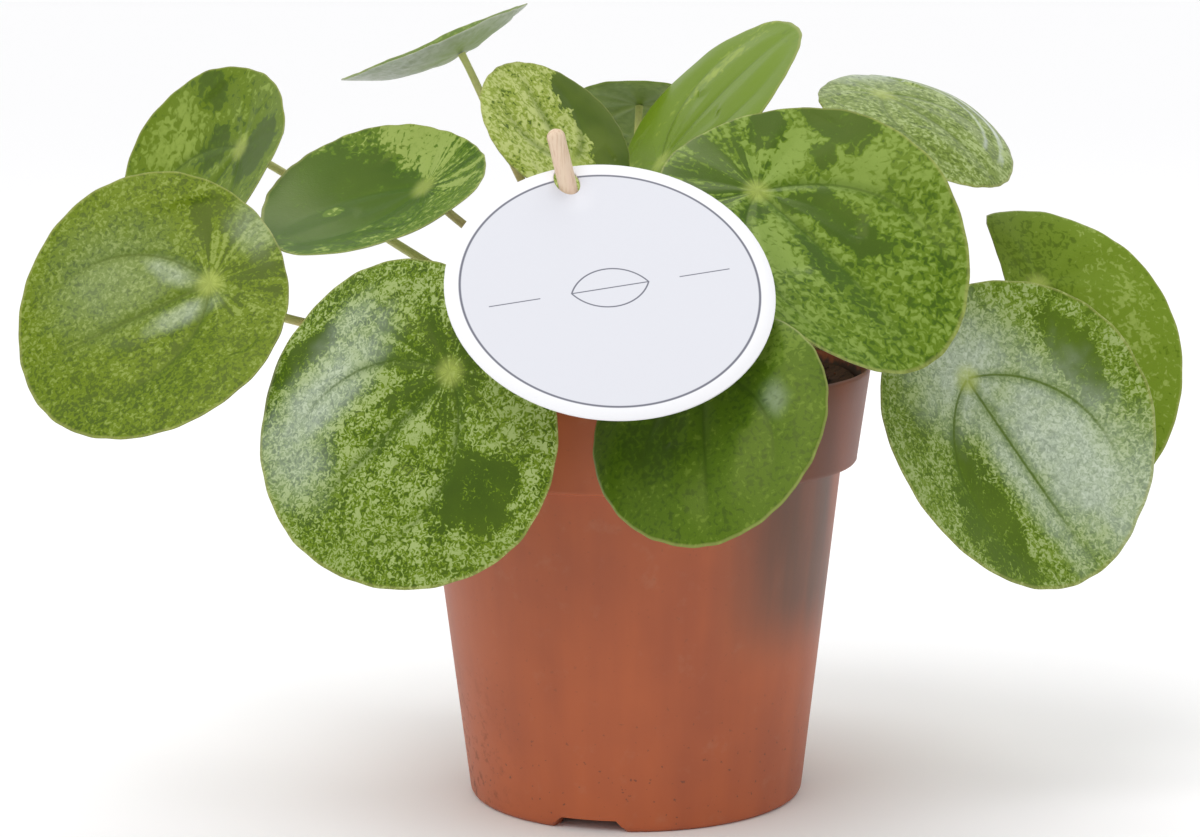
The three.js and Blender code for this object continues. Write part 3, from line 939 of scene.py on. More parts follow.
@dataclass(frozen=True)
class Arc:
    """A vein that leaves the stalk at an angle from the tip, in degrees, and turns towards the tip.

    The radius, the reach from the stalk and the width are millimetres. The depth is 1 for the strongest vein.
    """

    angle: float
    radius: float
    reach: float
    width: float
    depth: float = 1.0

    def scaled(self, scale: float) -> "Arc":
        """Returns the arc for a larger or smaller leaf."""
        return replace(self, radius=self.radius * scale, reach=self.reach * scale)

    def aim(self) -> Pair:
        """Returns the arc's first direction, towards the tip and to the side."""
        return math.cos(math.radians(self.angle)), math.sin(math.radians(self.angle))

    def centre(self) -> Pair:
        """Returns the middle of the arc's circle, towards the tip and to the side."""
        side = 1 if self.angle >= 0 else -1
        ahead, aside = self.aim()
        return self.radius * aside * side, -self.radius * ahead * side


@dataclass(frozen=True)
class Texture:
    """What a leaf's pattern is made of: a place on the blade and the noises there."""

    spot: Signal
    fine: Signal
    ragged: Signal
    rays: Signal
    rim: Signal


@dataclass(frozen=True)
class LeafFinish:
    """A leaf's mottle of three greens, its patches and its gloss.

    "grain" is the size of a fleck in millimetres, "contrast" and "balance" say how far the flecks spread from
    the middle green and to which side, "blur" how softly the greens meet, and "vein" how dark the painted
    shade line in a vein's groove is.
    """

    deep: Colour
    middle: Colour
    pale: Colour
    grain: float = 1.5
    contrast: float = 1.0
    balance: float = 0.0
    blur: float = 0.05
    warp: float = 0.6
    patches: tuple[Patch, ...] = ()
    roughness: float = 0.4
    vein: float = 0.55

    VEIN_ANGLE: ClassVar[float] = 70.0
    VEIN_RADIUS: ClassVar[float] = 30.0
    MIDRIB_RADIUS: ClassVar[float] = 900.0
    GLOSS: ClassVar[float] = 0.03
    SHEEN: ClassVar[Colour] = (1.0, 1.0, 0.35, 1.0)
    PAINTED_SHEEN_COLOUR: ClassVar[Colour] = tone(206, 216, 208)
    SPOT_COLOUR: ClassVar[Colour] = tone(178, 192, 96)
    MARGIN_LIGHT_COLOUR: ClassVar[Colour] = tone(158, 160, 96)

    def _mask(self, paint: Paint, place: Signal, ragged: Signal, patch: Patch) -> Signal:
        """Returns how strongly a patch shows at a place, 0 to 1. Painted sheen fades out further than a
        stain.
        """
        fade = 0.8 if patch.mark is Mark.PAINTED_SHEEN else patch.soft / 2
        moved = paint.vector("SUBTRACT", place, (patch.at[0], patch.at[1], 0.0))
        angle = math.radians(patch.turn)
        along = (math.cos(angle) / patch.size[0], math.sin(angle) / patch.size[0], 0.0)
        aside = (-math.sin(angle) / patch.size[1], math.cos(angle) / patch.size[1], 0.0)
        first = paint.measure("DOT_PRODUCT", moved, along)
        second = paint.measure("DOT_PRODUCT", moved, aside)
        reach = (first * first + second * second) ** 0.5 + ragged
        return reach.rise(1 + fade, 1 - fade)

    def _vein(self, paint: Paint, place: Signal, arc: Arc) -> Signal:
        """Returns how strongly a vein shows at a place, 0 to 1."""
        off = (paint.measure("DISTANCE", place, (*arc.centre(), 0.0)) - arc.radius).size()
        ahead = paint.measure("DOT_PRODUCT", place, (*arc.aim(), 0.0))
        away = paint.measure("LENGTH", place)
        near = off.rise(arc.width, arc.width * 0.2)
        return near * ahead.rise(-0.2, 0.8) * away.rise(arc.reach, arc.reach * 0.5)

    def _veined(self, paint: Paint, spot: Signal, length: float) -> tuple[Signal, Signal]:
        """Returns the painted shade along the three main veins, for a leaf's length: thin dark lines and a
        soft band.
        """
        scale = length / USUAL_LENGTH
        veins = self._vein(paint, spot, Arc(0.0, self.MIDRIB_RADIUS, 54 * scale, 0.7))
        shade = self._vein(paint, spot, Arc(0.0, self.MIDRIB_RADIUS, 50 * scale, 3.0))
        radius = self.VEIN_RADIUS * scale
        for angle in (-self.VEIN_ANGLE, self.VEIN_ANGLE):
            veins = veins.most(self._vein(paint, spot, Arc(angle, radius, 48 * scale, 0.6)))
            shade = shade.most(self._vein(paint, spot, Arc(angle, radius, 44 * scale, 2.6)))
        return veins, shade

    def _marked(self, paint: Paint, texture: Texture, level: Signal) -> tuple[Signal, Value]:
        """Adds the patches.

        Args:
            paint: The material.
            texture: The leaf's texture.
            level: How pale the mottle is, around 0.5.

        Returns:
            The new level, and how strongly the painted sheen and painted highlight lines show.
        """
        painted_sheen: Value = 0.0
        for patch in self.patches:
            shown = self._mask(paint, texture.spot, texture.ragged, patch)
            if patch.mark is Mark.DEEP:
                level = level - shown * patch.amount
            elif patch.mark is Mark.PALE:
                level = level + shown * patch.amount
            elif patch.mark is Mark.STREAKS:
                level = level + shown * (texture.rays - 0.5) * (3.2 * patch.amount)
            elif patch.mark is Mark.HOOP:
                # Painted highlight lines along the margin and just inside it.
                outer = (texture.rim - 0.9).size().rise(0.035, 0.01)
                inner = (texture.rim - 0.76).size().rise(0.03, 0.0) * 0.6
                painted_sheen = (outer.most(inner) * shown * patch.amount).most(painted_sheen)
            else:
                # Painted sheen: the soft light reflected by the waxy top, patchy with the fine noise.
                painted_sheen = (shown * (patch.amount * 0.9) * (0.3 + 1.4 * texture.fine)).most(painted_sheen)
        return level, painted_sheen

    def _greens(self) -> tuple[Colour, Colour, Colour, Colour, Colour]:
        """Returns the greens to paint, from the darkest to the palest."""
        deep, middle = (beneath_gloss(colour, self.GLOSS) for colour in (self.deep, self.middle))
        pale = beneath_gloss(self.pale, self.GLOSS, 0.95)
        darkest = (deep[0] * 0.74, deep[1] * 0.76, deep[2] * 0.8, 1.0)
        palest = (pale[0] * 1.2, pale[1] * 1.16, pale[2] * 1.35, 1.0)
        return darkest, deep, middle, pale, palest

    def material(self, name: str, layer: float, length: float) -> bpy.types.Material:
        """Builds the material of a leaf's top.

        Args:
            name: The material's name.
            layer: A number that gives the leaf its own noise.
            length: The leaf's length, in millimetres.

        Returns:
            The material.
        """
        gloss = {"Coat Weight": 0.05, "Coat Roughness": 0.3, "Specular IOR Level": 0.4}
        paint = Paint(name, {**gloss, "Specular Tint": self.SHEEN})
        spot = paint.plane_place("LeafPlane")
        place = paint.vector("ADD", spot, (0.0, 0.0, layer))
        away = paint.measure("LENGTH", spot)
        x, y, _ = paint.split(paint.vector("NORMALIZE", spot))
        rim, groove, _ = paint.split(paint.map_place("LeafRim"))
        fine = paint.noise(place, 1 / self.grain, 1.5, 0.55, self.warp)
        coarse = paint.noise(place, 0.2 / self.grain, 2.0, 0.5)
        ragged = (coarse - 0.5) * 0.9 + (fine - 0.5) * 0.25
        rays = paint.noise(paint.join(x, y, away * 0.006 + layer), 7.0, 2.0, 0.55)
        flecks = (fine - 0.5) * (1.5 * self.contrast) + (coarse - 0.5) * (0.6 * self.contrast)
        texture = Texture(spot, fine, ragged, rays, rim)
        level, painted_sheen = self._marked(paint, texture, flecks + (0.5 + self.balance))

        darkest, deep, middle, pale, palest = self._greens()
        low, high = 0.5 - self.blur, 0.5 + self.blur
        places = (low - 0.24, low - 0.1, low - 0.02, high + 0.02, high + 0.1, high + 0.24)
        colour = paint.ramp(level, list(zip(places, (darkest, deep, middle, middle, pale, palest))))
        cloud = paint.noise(place, 0.07, 2.0, 0.5)
        colour = paint.mix(cloud.rise(0.3, 0.7) * 0.2, colour, middle)
        veins, shade = self._veined(paint, spot, length)
        # Painted shade in the vein grooves and in a soft band along the main veins.
        colour = paint.mix(groove * 0.25 + shade * 0.3, colour, deep)
        # Painted reflection: the bluish-white sheen, weaker over the vein shade.
        if self.patches:
            colour = paint.mix(painted_sheen * (1 - 0.5 * shade), colour, self.PAINTED_SHEEN_COLOUR)
        # Painted shade: a thin dark line in the groove of each main vein.
        colour = paint.mix(veins * self.vein, colour, darkest)
        heart = away.rise(5.0, 1.2) * (0.4 + rays * 0.6)
        colour = paint.mix(heart.least(1.0) * 0.75, colour, self.SPOT_COLOUR)
        # Painted light: the thin margin paler, as where light shines through it.
        colour = paint.mix(rim.rise(0.98, 0.995) * 0.45, colour, self.MARGIN_LIGHT_COLOUR)
        paint.colour(colour)
        paint.roughness(self.roughness + (fine - 0.5) * 0.12)
        pores = paint.noise(place, 2.6, 2.0, 0.6)
        paint.bump(pores * 0.5 + fine * 0.5, 0.12, 0.5)
        return paint.material


@dataclass(frozen=True)
class UndersideFinish:
    """A leaf's underside: duller, greyer and plainer than its top."""

    green: Colour = tone(152, 170, 112)
    shade: Colour = tone(126, 150, 84)
    vein: Colour = tone(176, 186, 132)
    heart: Colour = tone(132, 160, 66)

    def material(self, name: str) -> bpy.types.Material:
        """Returns the material, under a name."""
        paint = Paint(name, {"Coat Weight": 0.05, "Coat Roughness": 0.4, "Specular IOR Level": 0.4})
        place = paint.plane_place("LeafPlane")
        mottle = paint.noise(place, 0.5, 2.0, 0.5, 0.5)
        cloud = paint.noise(place, 0.06, 2.0)
        rim, groove, _ = paint.split(paint.map_place("LeafRim"))
        colour = paint.mix((mottle * 0.5 + cloud * 0.5).rise(0.4, 0.6), self.green, self.shade)
        away = paint.measure("LENGTH", place)
        colour = paint.mix(away.rise(20.0, 3.0) * 0.8, colour, self.heart)
        colour = paint.mix(groove * 0.5, colour, self.vein)
        colour = paint.mix(rim.rise(0.96, 0.99) * 0.5, colour, self.vein)
        paint.colour(colour)
        paint.roughness(0.5 + 0.15 * mottle)
        paint.bump(paint.noise(place, 1.8, 2.0), 0.1, 0.5)
        return paint.material


@dataclass(frozen=True)
class StalkFinish:
    """A leaf stalk: green with a brown flush, smooth and a little glossy."""

    green: Colour = tone(196, 202, 122)
    brown: Colour = tone(204, 180, 126)
    speck: Colour = tone(126, 108, 72)

    def material(self) -> bpy.types.Material:
        """Returns the material."""
        paint = Paint("leaf stalk", {"Coat Weight": 0.1, "Coat Roughness": 0.3})
        place = paint.solid_place()
        flush = paint.noise(place, 28.0, 2.0)
        fine = paint.noise(place, 700.0, 3.0, 0.6)
        share, _, _ = paint.split(paint.map_place("StalkLength"))
        brown = (flush.rise(0.35, 0.6) * 0.75 + 0.2) * share.rise(1.05, 0.55)
        colour = paint.mix(brown.least(1.0), self.green, self.brown)
        colour = paint.mix(fine.rise(0.5, 0.75) * 0.2, colour, self.speck)
        paint.colour(colour)
        paint.roughness(0.42 + 0.2 * fine)
        paint.bump(fine, 0.05, 0.6)
        return paint.material


@dataclass(frozen=True)
class Leaf:
    """A round blade held from beneath near one end, and its stalk. Sizes are millimetres and degrees.

    "at" is where the stalk meets the blade, "facing" the azimuth that its top looks to, "tilt" its angle from
    lying flat and "twist" the turn of its tip from straight downhill. Dome, fold and curl bend it.
    """

    number: int
    at: Point
    facing: float
    tilt: float
    twist: float
    length: float
    width: float
    finish: LeafFinish
    dome: float = 0.0
    fold: float = 0.0
    curl: float = 0.0
    flat: Optional[Pair] = None
    node: float = 115.0
    rise: float = 45.0
    pucker: float = 0.9
    rings: int = 40
    sectors: int = 160

    THICKNESS: ClassVar[float] = 0.8
    HOLD: ClassVar[float] = 0.27
    TAPER: ClassVar[float] = 0.06
    GAP: ClassVar[float] = 0.3
    INSET: ClassVar[float] = 0.75
    WAVE: ClassVar[float] = 0.14
    RIPPLES: ClassVar[tuple[Pair, ...]] = ((19, 1.0), (31, 2.3))
    SWAY: ClassVar[float] = 0.35
    SWAY_LENGTH: ClassVar[float] = 26.0
    PILLOW_WIDTH: ClassVar[float] = 6.0
    GROOVE: ClassVar[float] = 0.45
    STALK_FOOT: ClassVar[float] = 1.4
    STALK_END: ClassVar[float] = 1.02
    STALK_FULL: ClassVar[float] = 58.0
    STALK_LEAST: ClassVar[float] = 0.35
    STALK_LEAVES: ClassVar[float] = 0.4
    STALK_MEETS: ClassVar[float] = 0.2
    STALK_STEPS: ClassVar[int] = 30
    STALK_SIDES: ClassVar[int] = 14
    EDGE_BULGE: ClassVar[float] = 0.12
    VEINS: ClassVar[tuple[Arc, ...]] = (
        Arc(0.0, 900.0, 58.0, 1.3),
        Arc(70.0, 30.0, 52.0, 1.1, 0.9),
        Arc(-70.0, 30.0, 52.0, 1.1, 0.9),
        *(Arc(angle, 60.0, 22.0, 0.9, 0.32) for angle in (38.0, -38.0, 112.0, -112.0, 145.0, -145.0, 178.0)),
    )

    @property
    def scale(self) -> float:
        """The leaf's size beside one whose veins have their full size."""
        return self.length / USUAL_LENGTH

    @property
    def hold_along(self) -> float:
        """Where the stalk meets the blade, from -1 at its foot to 1 at its tip."""
        return 2 * self.HOLD - 1

    def axes(self) -> tuple[np.ndarray, np.ndarray, np.ndarray]:
        """Returns the directions to the tip, to the side and out of the top."""
        facing, tilt, twist = (math.radians(a) for a in (self.facing, self.tilt, self.twist))
        level = np.array([math.cos(facing), math.sin(facing), 0.0])
        up = np.array([0.0, 0.0, 1.0])
        normal = level * math.sin(tilt) + up * math.cos(tilt)
        downhill = level * math.cos(tilt) - up * math.sin(tilt)
        tip = downhill * math.cos(twist) + np.cross(normal, downhill) * math.sin(twist)
        return tip, np.cross(normal, tip), normal

    def veins(self, x: np.ndarray, y: np.ndarray) -> tuple[np.ndarray, np.ndarray]:
        """Returns how strong the nearest vein is at places on the blade, and how far off it runs.

        Args:
            x: Millimetres from the stalk towards the tip.
            y: Millimetres to the side.

        Returns:
            The strength, 0 to 1, and the distance in millimetres.
        """
        away = np.hypot(x, y)
        strength, nearest = np.zeros_like(x), np.full_like(x, 99.0)
        for arc in self.VEINS:
            arc = arc.scaled(self.scale)
            (ahead, aside), (middle_x, middle_y) = arc.aim(), arc.centre()
            off = np.abs(np.hypot(x - middle_x, y - middle_y) - arc.radius)
            forward = x * ahead + y * aside > -0.5
            fade = np.clip(1.15 - away / arc.reach, 0, 1) * forward
            strength = np.maximum(strength, arc.depth * fade * np.exp(-((off / arc.width) ** 2)))
            nearest = np.where(forward & (fade > 0.05), np.minimum(nearest, off), nearest)
        return strength, nearest

    def surface(self, x: np.ndarray, y: np.ndarray, relief: bool = True) -> np.ndarray:
        """Returns points of the blade's middle surface.

        Args:
            x: Millimetres from the stalk towards the tip.
            y: Millimetres to the side.
            relief: Whether veins and swellings are added.

        Returns:
            The points.
        """
        tip, side, normal = self.axes()
        along = 2 * x / self.length + self.hold_along
        across = 2 * y / (self.width * (1 - self.TAPER * along))
        lift = -self.dome * (along**2 + across**2) + self.fold * across**2 + self.curl * along**2
        lift -= (self.curl - self.dome) * self.hold_along**2
        if relief:
            strength, nearest = self.veins(x, y)
            ease = np.clip(1.06 - np.hypot(along, across), 0, 0.3) / 0.3
            ease = ease * np.clip(np.hypot(x, y) / 6, 0, 1) ** 2
            pillow = self.pucker * (1 - np.exp(-((nearest / self.PILLOW_WIDTH) ** 2))) * ease
            strength = strength * np.clip(np.hypot(x, y) / 4, 0, 1)
            sway = self.SWAY * wave_noise(np.stack([x, y], axis=-1), self.SWAY_LENGTH, self.number)
            sway = sway * np.hypot(along, across) ** 2
            lift = lift + (pillow - self.GROOVE * strength + sway) * self.scale
        ends = x[..., None] * tip + y[..., None] * side + lift[..., None] * normal
        return np.array(self.at) + ends

    def margin(self, turns: np.ndarray) -> np.ndarray:
        """Returns the margin's reach for directions in degrees from the tip: 1 where it is round."""
        waves = sum(np.sin(np.radians(count * turns) + start * self.number) for count, start in self.RIPPLES)
        wear_and_shade = 1 - (self.INSET + self.WAVE * waves) / self.length
        if self.flat is None:
            return wear_and_shade
        start, end = self.flat
        chord = math.cos(math.radians((end - start) / 2))
        chord = chord / np.maximum(np.cos(np.radians(turns - (start + end) / 2)), 0.05)
        return wear_and_shade * np.where((turns > start) & (turns < end), chord, 1.0)

    def blade_skin(self) -> Skin:
        """Returns the blade's skin: a top, an underside and a rounded edge."""
        turns = np.arange(self.sectors) * 360 / self.sectors
        reach = self.margin(turns)
        rim_along = reach * np.cos(np.radians(turns))
        rim_across = reach * np.sin(np.radians(turns))
        shares = np.linspace(0, 1, self.rings + 1)[1:, None]
        along = self.hold_along + shares * (rim_along - self.hold_along)
        across = shares * rim_across
        along = np.concatenate([[self.hold_along], along.ravel()])
        across = np.concatenate([[0.0], across.ravel()])
        share = np.concatenate([[0.0], np.repeat(shares.ravel(), self.sectors)])
        x = (along - self.hold_along) * self.length / 2
        y = across * self.width * (1 - self.TAPER * along) / 2
        step = 0.15
        middle = self.surface(x, y)
        ahead = self.surface(x + step, y) - middle
        aside = self.surface(x, y + step) - middle
        out = unit(np.cross(ahead, aside))
        half = self.THICKNESS / 2 * (0.92 - 0.5 * share**12)[:, None]
        count = len(middle)
        rim = slice(count - self.sectors, count)
        outward = unit(middle[rim] - middle[0])
        edge = middle[rim] + outward * self.EDGE_BULGE
        points = np.vstack([middle + out * half, middle - out * half, edge])
        strength, _ = self.veins(x, y)
        flat = np.stack([x / PLANE_SCALE + 0.5, y / PLANE_SCALE + 0.5], axis=1)
        rims = np.stack([share, strength], axis=1)
        maps = {
            "LeafPlane": np.vstack([flat, flat, flat[rim]]),
            "LeafRim": np.vstack([rims, rims, rims[rim]]),
        }
        faces, looks = self._faces(count)
        return Skin(points, faces, maps, looks)

    def _faces(self, count: int) -> tuple[list[tuple[int, ...]], np.ndarray]:
        """Returns the blade's faces and which finish each takes, for a number of points a side."""
        faces: list[tuple[int, ...]] = []
        looks: list[int] = []
        sectors = self.sectors
        for i in range(sectors):
            j = (i + 1) % sectors
            faces += [(0, 1 + i, 1 + j), (count, count + 1 + j, count + 1 + i)]
            looks += [0, 1]
            for ring in range(self.rings - 1):
                low, high = 1 + ring * sectors, 1 + (ring + 1) * sectors
                quad = (low + i, high + i, high + j, low + j)
                faces += [quad, tuple(count + k for k in reversed(quad))]
                looks += [0, 1]
            rim, under, edge = count - sectors, 2 * count - sectors, 2 * count
            faces += [(rim + i, edge + i, edge + j, rim + j), (edge + i, under + i, under + j, edge + j)]
            looks += [0, 1]
        return faces, np.array(looks)

    def stalk_skin(self, stem: Stem) -> Skin:
        """Returns the stalk's skin: it leaves the stem outwards and meets the blade square from beneath."""
        zero, step = np.array([0.0]), 0.3
        centre = self.surface(zero, zero, False)[0]
        ahead = self.surface(zero + step, zero, False)[0] - centre
        aside = self.surface(zero, zero + step, False)[0] - centre
        normal = unit(np.cross(ahead, aside))
        end = np.array(self.at) - normal * (self.THICKNESS / 2 + self.GAP)
        azimuth = math.atan2(self.at[1], self.at[0])
        outwards = np.array([math.cos(azimuth), math.sin(azimuth), 0.0])
        start = outwards * (stem.reach(self.node) + self.GAP) + np.array([0, 0, self.node])
        slope = math.radians(self.rise)
        leaving = outwards * math.cos(slope) + np.array([0, 0, math.sin(slope)])
        span = float(np.linalg.norm(end - start))
        leaves = start + leaving * self.STALK_LEAVES * span
        meets = end - normal * self.STALK_MEETS * span
        controls = [start, leaves, meets, end]
        steps, sides = self.STALK_STEPS, self.STALK_SIDES
        shares = np.linspace(0, 1, steps)
        weights = [(1 - shares) ** 3, 3 * shares * (1 - shares) ** 2, 3 * shares**2 * (1 - shares), shares**3]
        path = sum(w[:, None] * c for w, c in zip(weights, controls))
        size = min(1.0, self.STALK_LEAST + (1 - self.STALK_LEAST) * self.length / self.STALK_FULL)
        swell = 0.12 * np.exp(-((shares / 0.06) ** 2)) + 0.15 * np.exp(-(((1 - shares) / 0.03) ** 2))
        radii = size * (self.STALK_FOOT + (self.STALK_END - self.STALK_FOOT) * shares) * (1 + swell)
        aim = unit(np.gradient(path, axis=0))
        spare = (0.13, 0.31, 0.94) if abs(normal[2]) < 0.9 else (1.0, 0.2, 0.0)
        first = unit(np.cross(aim, np.array(spare)))
        second = np.cross(aim, first)
        turns = np.arange(sides) * 2 * np.pi / sides
        rows = []
        for k in range(steps):
            circle = np.outer(np.cos(turns), first[k]) + np.outer(np.sin(turns), second[k])
            ring = path[k] + radii[k] * circle
            if k == 0:
                ring = ring - np.outer((ring - start) @ outwards / (leaving @ outwards), leaving)
            rows.append(ring)
        points = np.vstack([start[None], *rows, end[None]])
        share = np.concatenate([[0.0], np.repeat(shares, sides), [1.0]])
        faces = tube_faces(steps, sides)
        return Skin(points, faces, {"StalkLength": np.stack([share, share], axis=1)})

    def build(
        self, stem: Stem, under: bpy.types.Material, stalk: bpy.types.Material
    ) -> list[bpy.types.Object]:
        """Builds and dresses the blade and its stalk.

        Args:
            stem: The stem that the stalk leaves.
            under: The material of the underside.
            stalk: The material of the stalk.

        Returns:
            The blade and the stalk.
        """
        label = f"{self.number:02d}"
        top = self.finish.material(f"leaf {label} top", 11.7 * self.number, self.length)
        blade = self.blade_skin().piece(f"leaf_{label}", [top, under], 50.0)
        rod = self.stalk_skin(stem).piece(f"stalk_{label}", [stalk], 60.0)
        settle(blade, "leaf", f"leaf_blade_{label}")
        settle(rod, "petiole", f"petiole_{label}")
        return [blade, rod]


def crown() -> list[Leaf]:
    """Returns the plant's leaves, each with its place, bend and pattern."""
    # The bluish-white patches of the third mark are painted reflection of the soft light on the waxy tops.
    deep, pale, painted_sheen, streaks = Mark.DEEP, Mark.PALE, Mark.PAINTED_SHEEN, Mark.STREAKS
    olive = LeafFinish(
        deep=tone(84, 105, 34),
        middle=tone(106, 127, 50),
        pale=tone(132, 150, 80),
        grain=1.0,
        contrast=0.85,
        patches=(
            Patch(deep, (22, 22), (34, 18), 0.08),
            Patch(deep, (-7, -17), (6, 6), 0.25),
            Patch(deep, (-12, 5), (7, 8), 0.2),
            Patch(streaks, (-9, 0), (13, 15), 0.5),
            Patch(painted_sheen, (9, 5), (8, 2.5), 0.35),
            Patch(painted_sheen, (8, -8), (8, 3), 0.35, -50),
            Patch(painted_sheen, (22, -12), (14, 12), 0.12),
            Patch(painted_sheen, (-15, -9), (5, 7), 0.2),
        ),
    )
    coarse = LeafFinish(
        deep=tone(80, 104, 34),
        middle=tone(104, 126, 52),
        pale=tone(133, 154, 76),
        grain=2.0,
        contrast=0.6,
        patches=(
            Patch(deep, (-4, 8), (9, 8), 0.4),
            Patch(deep, (7, -10), (7, 5), 0.25),
            Patch(deep, (-2, -24), (5, 6), 0.2),
            Patch(pale, (14, -24), (12, 8), 0.16, soft=1.0),
        ),
    )
    half = LeafFinish(
        deep=tone(80, 110, 46),
        middle=tone(98, 126, 56),
        pale=tone(148, 168, 92),
        grain=1.4,
        contrast=0.8,
        patches=(
            Patch(deep, (24, -14), (24, 22), 0.45),
            Patch(deep, (5, -3), (7, 9), 0.45),
            Patch(pale, (-8, -14), (8, 15), 0.28),
            Patch(streaks, (-10, 5), (12, 14), 0.6),
            Patch(pale, (21, -12), (3, 2), 0.5),
            Patch(pale, (19, 1), (3, 2), 0.5),
        ),
    )
    worm = LeafFinish(
        deep=tone(74, 98, 28),
        middle=tone(106, 130, 56),
        pale=tone(150, 168, 108),
        grain=1.1,
        contrast=1.25,
        balance=0.03,
        warp=1.3,
        patches=(
            Patch(deep, (14, 26), (9, 9), 0.5),
            Patch(deep, (23, 23), (5, 5), 0.3),
            Patch(deep, (3, -2), (13, 14), 0.22),
            Patch(streaks, (4, -6), (18, 20), 0.4),
            Patch(deep, (26, -31), (10, 3.5), 0.4),
            Patch(painted_sheen, (28, -20), (20, 7), 0.5, 5),
            Patch(painted_sheen, (43, -13), (8, 9), 0.35),
            Patch(painted_sheen, (11, -28), (7, 4), 0.3),
        ),
    )
    plain = LeafFinish(
        deep=tone(78, 104, 36),
        middle=tone(96, 122, 48),
        pale=tone(122, 144, 70),
        grain=1.6,
        contrast=0.7,
    )
    split = LeafFinish(
        deep=tone(84, 108, 30),
        middle=tone(148, 165, 86),
        pale=tone(182, 194, 122),
        grain=1.2,
        contrast=0.9,
        balance=0.12,
        vein=0.15,
        patches=(
            Patch(deep, (8, -25), (30, 16), 1.2, soft=0.2),
        ),
    )
    back = LeafFinish(
        deep=tone(68, 92, 26),
        middle=tone(82, 108, 34),
        pale=tone(104, 128, 52),
        grain=2.0,
        contrast=0.6,
    )
    lime = LeafFinish(
        deep=tone(106, 132, 48),
        middle=tone(114, 140, 54),
        pale=tone(146, 166, 72),
        grain=2.2,
        contrast=0.4,
        balance=-0.04,
        blur=0.1,
        patches=(
            Patch(pale, (-12, 6), (7, 24), 0.3, soft=1.0),
            Patch(pale, (30, 14), (26, 6), 0.2, soft=1.4),
        ),
    )
    quilt = LeafFinish(
        deep=tone(76, 104, 40),
        middle=tone(100, 126, 56),
        pale=tone(124, 148, 76),
        grain=1.7,
        contrast=1.0,
        balance=0.03,
        blur=0.04,
        patches=(
            Patch(deep, (0, 27), (11, 5), 0.45),
            Patch(deep, (-12, 15), (5, 5), 0.45),
            Patch(deep, (3, 19), (4, 3), 0.4),
            Patch(deep, (20, 9), (11, 5), 0.4),
            Patch(deep, (9, 4), (4, 3.5), 0.4),
            Patch(deep, (30, -4), (18, 3), 0.3),
            Patch(deep, (-12, -4), (12, 13), 0.25),
            Patch(deep, (5, -7), (3.5, 5), 0.35),
            Patch(pale, (14, -10), (10, 7), 0.3),
            Patch(pale, (-4, 12), (6, 9), 0.3),
            Patch(pale, (12, 22), (7, 7), 0.25),
            Patch(streaks, (-14, -2), (15, 15), 0.9),
        ),
    )
    forest = LeafFinish(
        deep=tone(72, 95, 28),
        middle=tone(84, 109, 36),
        pale=tone(104, 128, 60),
        grain=1.3,
        contrast=0.6,
        balance=-0.03,
        patches=(
            Patch(pale, (-6, 18), (9, 9), 0.2),
            Patch(deep, (16, -12), (9, 9), 0.15),
            Patch(painted_sheen, (12, 17), (4, 3), 0.2),
        ),
    )
    painted_sheen_mottle = LeafFinish(
        deep=tone(88, 114, 44),
        middle=tone(114, 138, 68),
        pale=tone(150, 168, 110),
        grain=1.05,
        contrast=1.1,
        balance=0.02,
        blur=0.04,
        warp=1.0,
        vein=0.8,
        patches=(
            Patch(deep, (10, 25), (14, 4.5), 0.4),
            Patch(deep, (32, -20), (19, 8), 0.35, -12),
            Patch(deep, (14, -13), (8, 4), 0.25),
            Patch(painted_sheen, (-2, 0), (13, 13), 0.6),
            Patch(painted_sheen, (30, 11), (28, 12), 0.6, 8),
            Patch(painted_sheen, (24, -3), (26, 4), 0.45, -2),
            Patch(painted_sheen, (46, 18), (14, 12), 0.4),
        ),
    )
    moss = LeafFinish(
        deep=tone(96, 120, 48),
        middle=tone(112, 136, 60),
        pale=tone(138, 158, 84),
        grain=1.5,
        contrast=0.7,
        balance=0.0,
        blur=0.1,
        patches=(
            # Painted shadow of leaf 11, darker near the stalk.
            Patch(deep, (-6, 2), (14, 9), 0.16, soft=1.4),
            Patch(pale, (15, 22), (20, 8), 0.12, soft=1.4),
        ),
    )
    glossy = LeafFinish(
        deep=tone(98, 120, 56),
        middle=tone(122, 142, 78),
        pale=tone(154, 172, 112),
        grain=1.2,
        contrast=1.1,
        roughness=0.3,
        patches=(
            # Both patches are painted light: a grey-white sheen near the base and highlight lines along the
            # margin.
            Patch(painted_sheen, (-14, 14), (7, 12), 0.5),
            Patch(Mark.HOOP, (8, 19), (26, 14), 0.8, -20),
        ),
    )
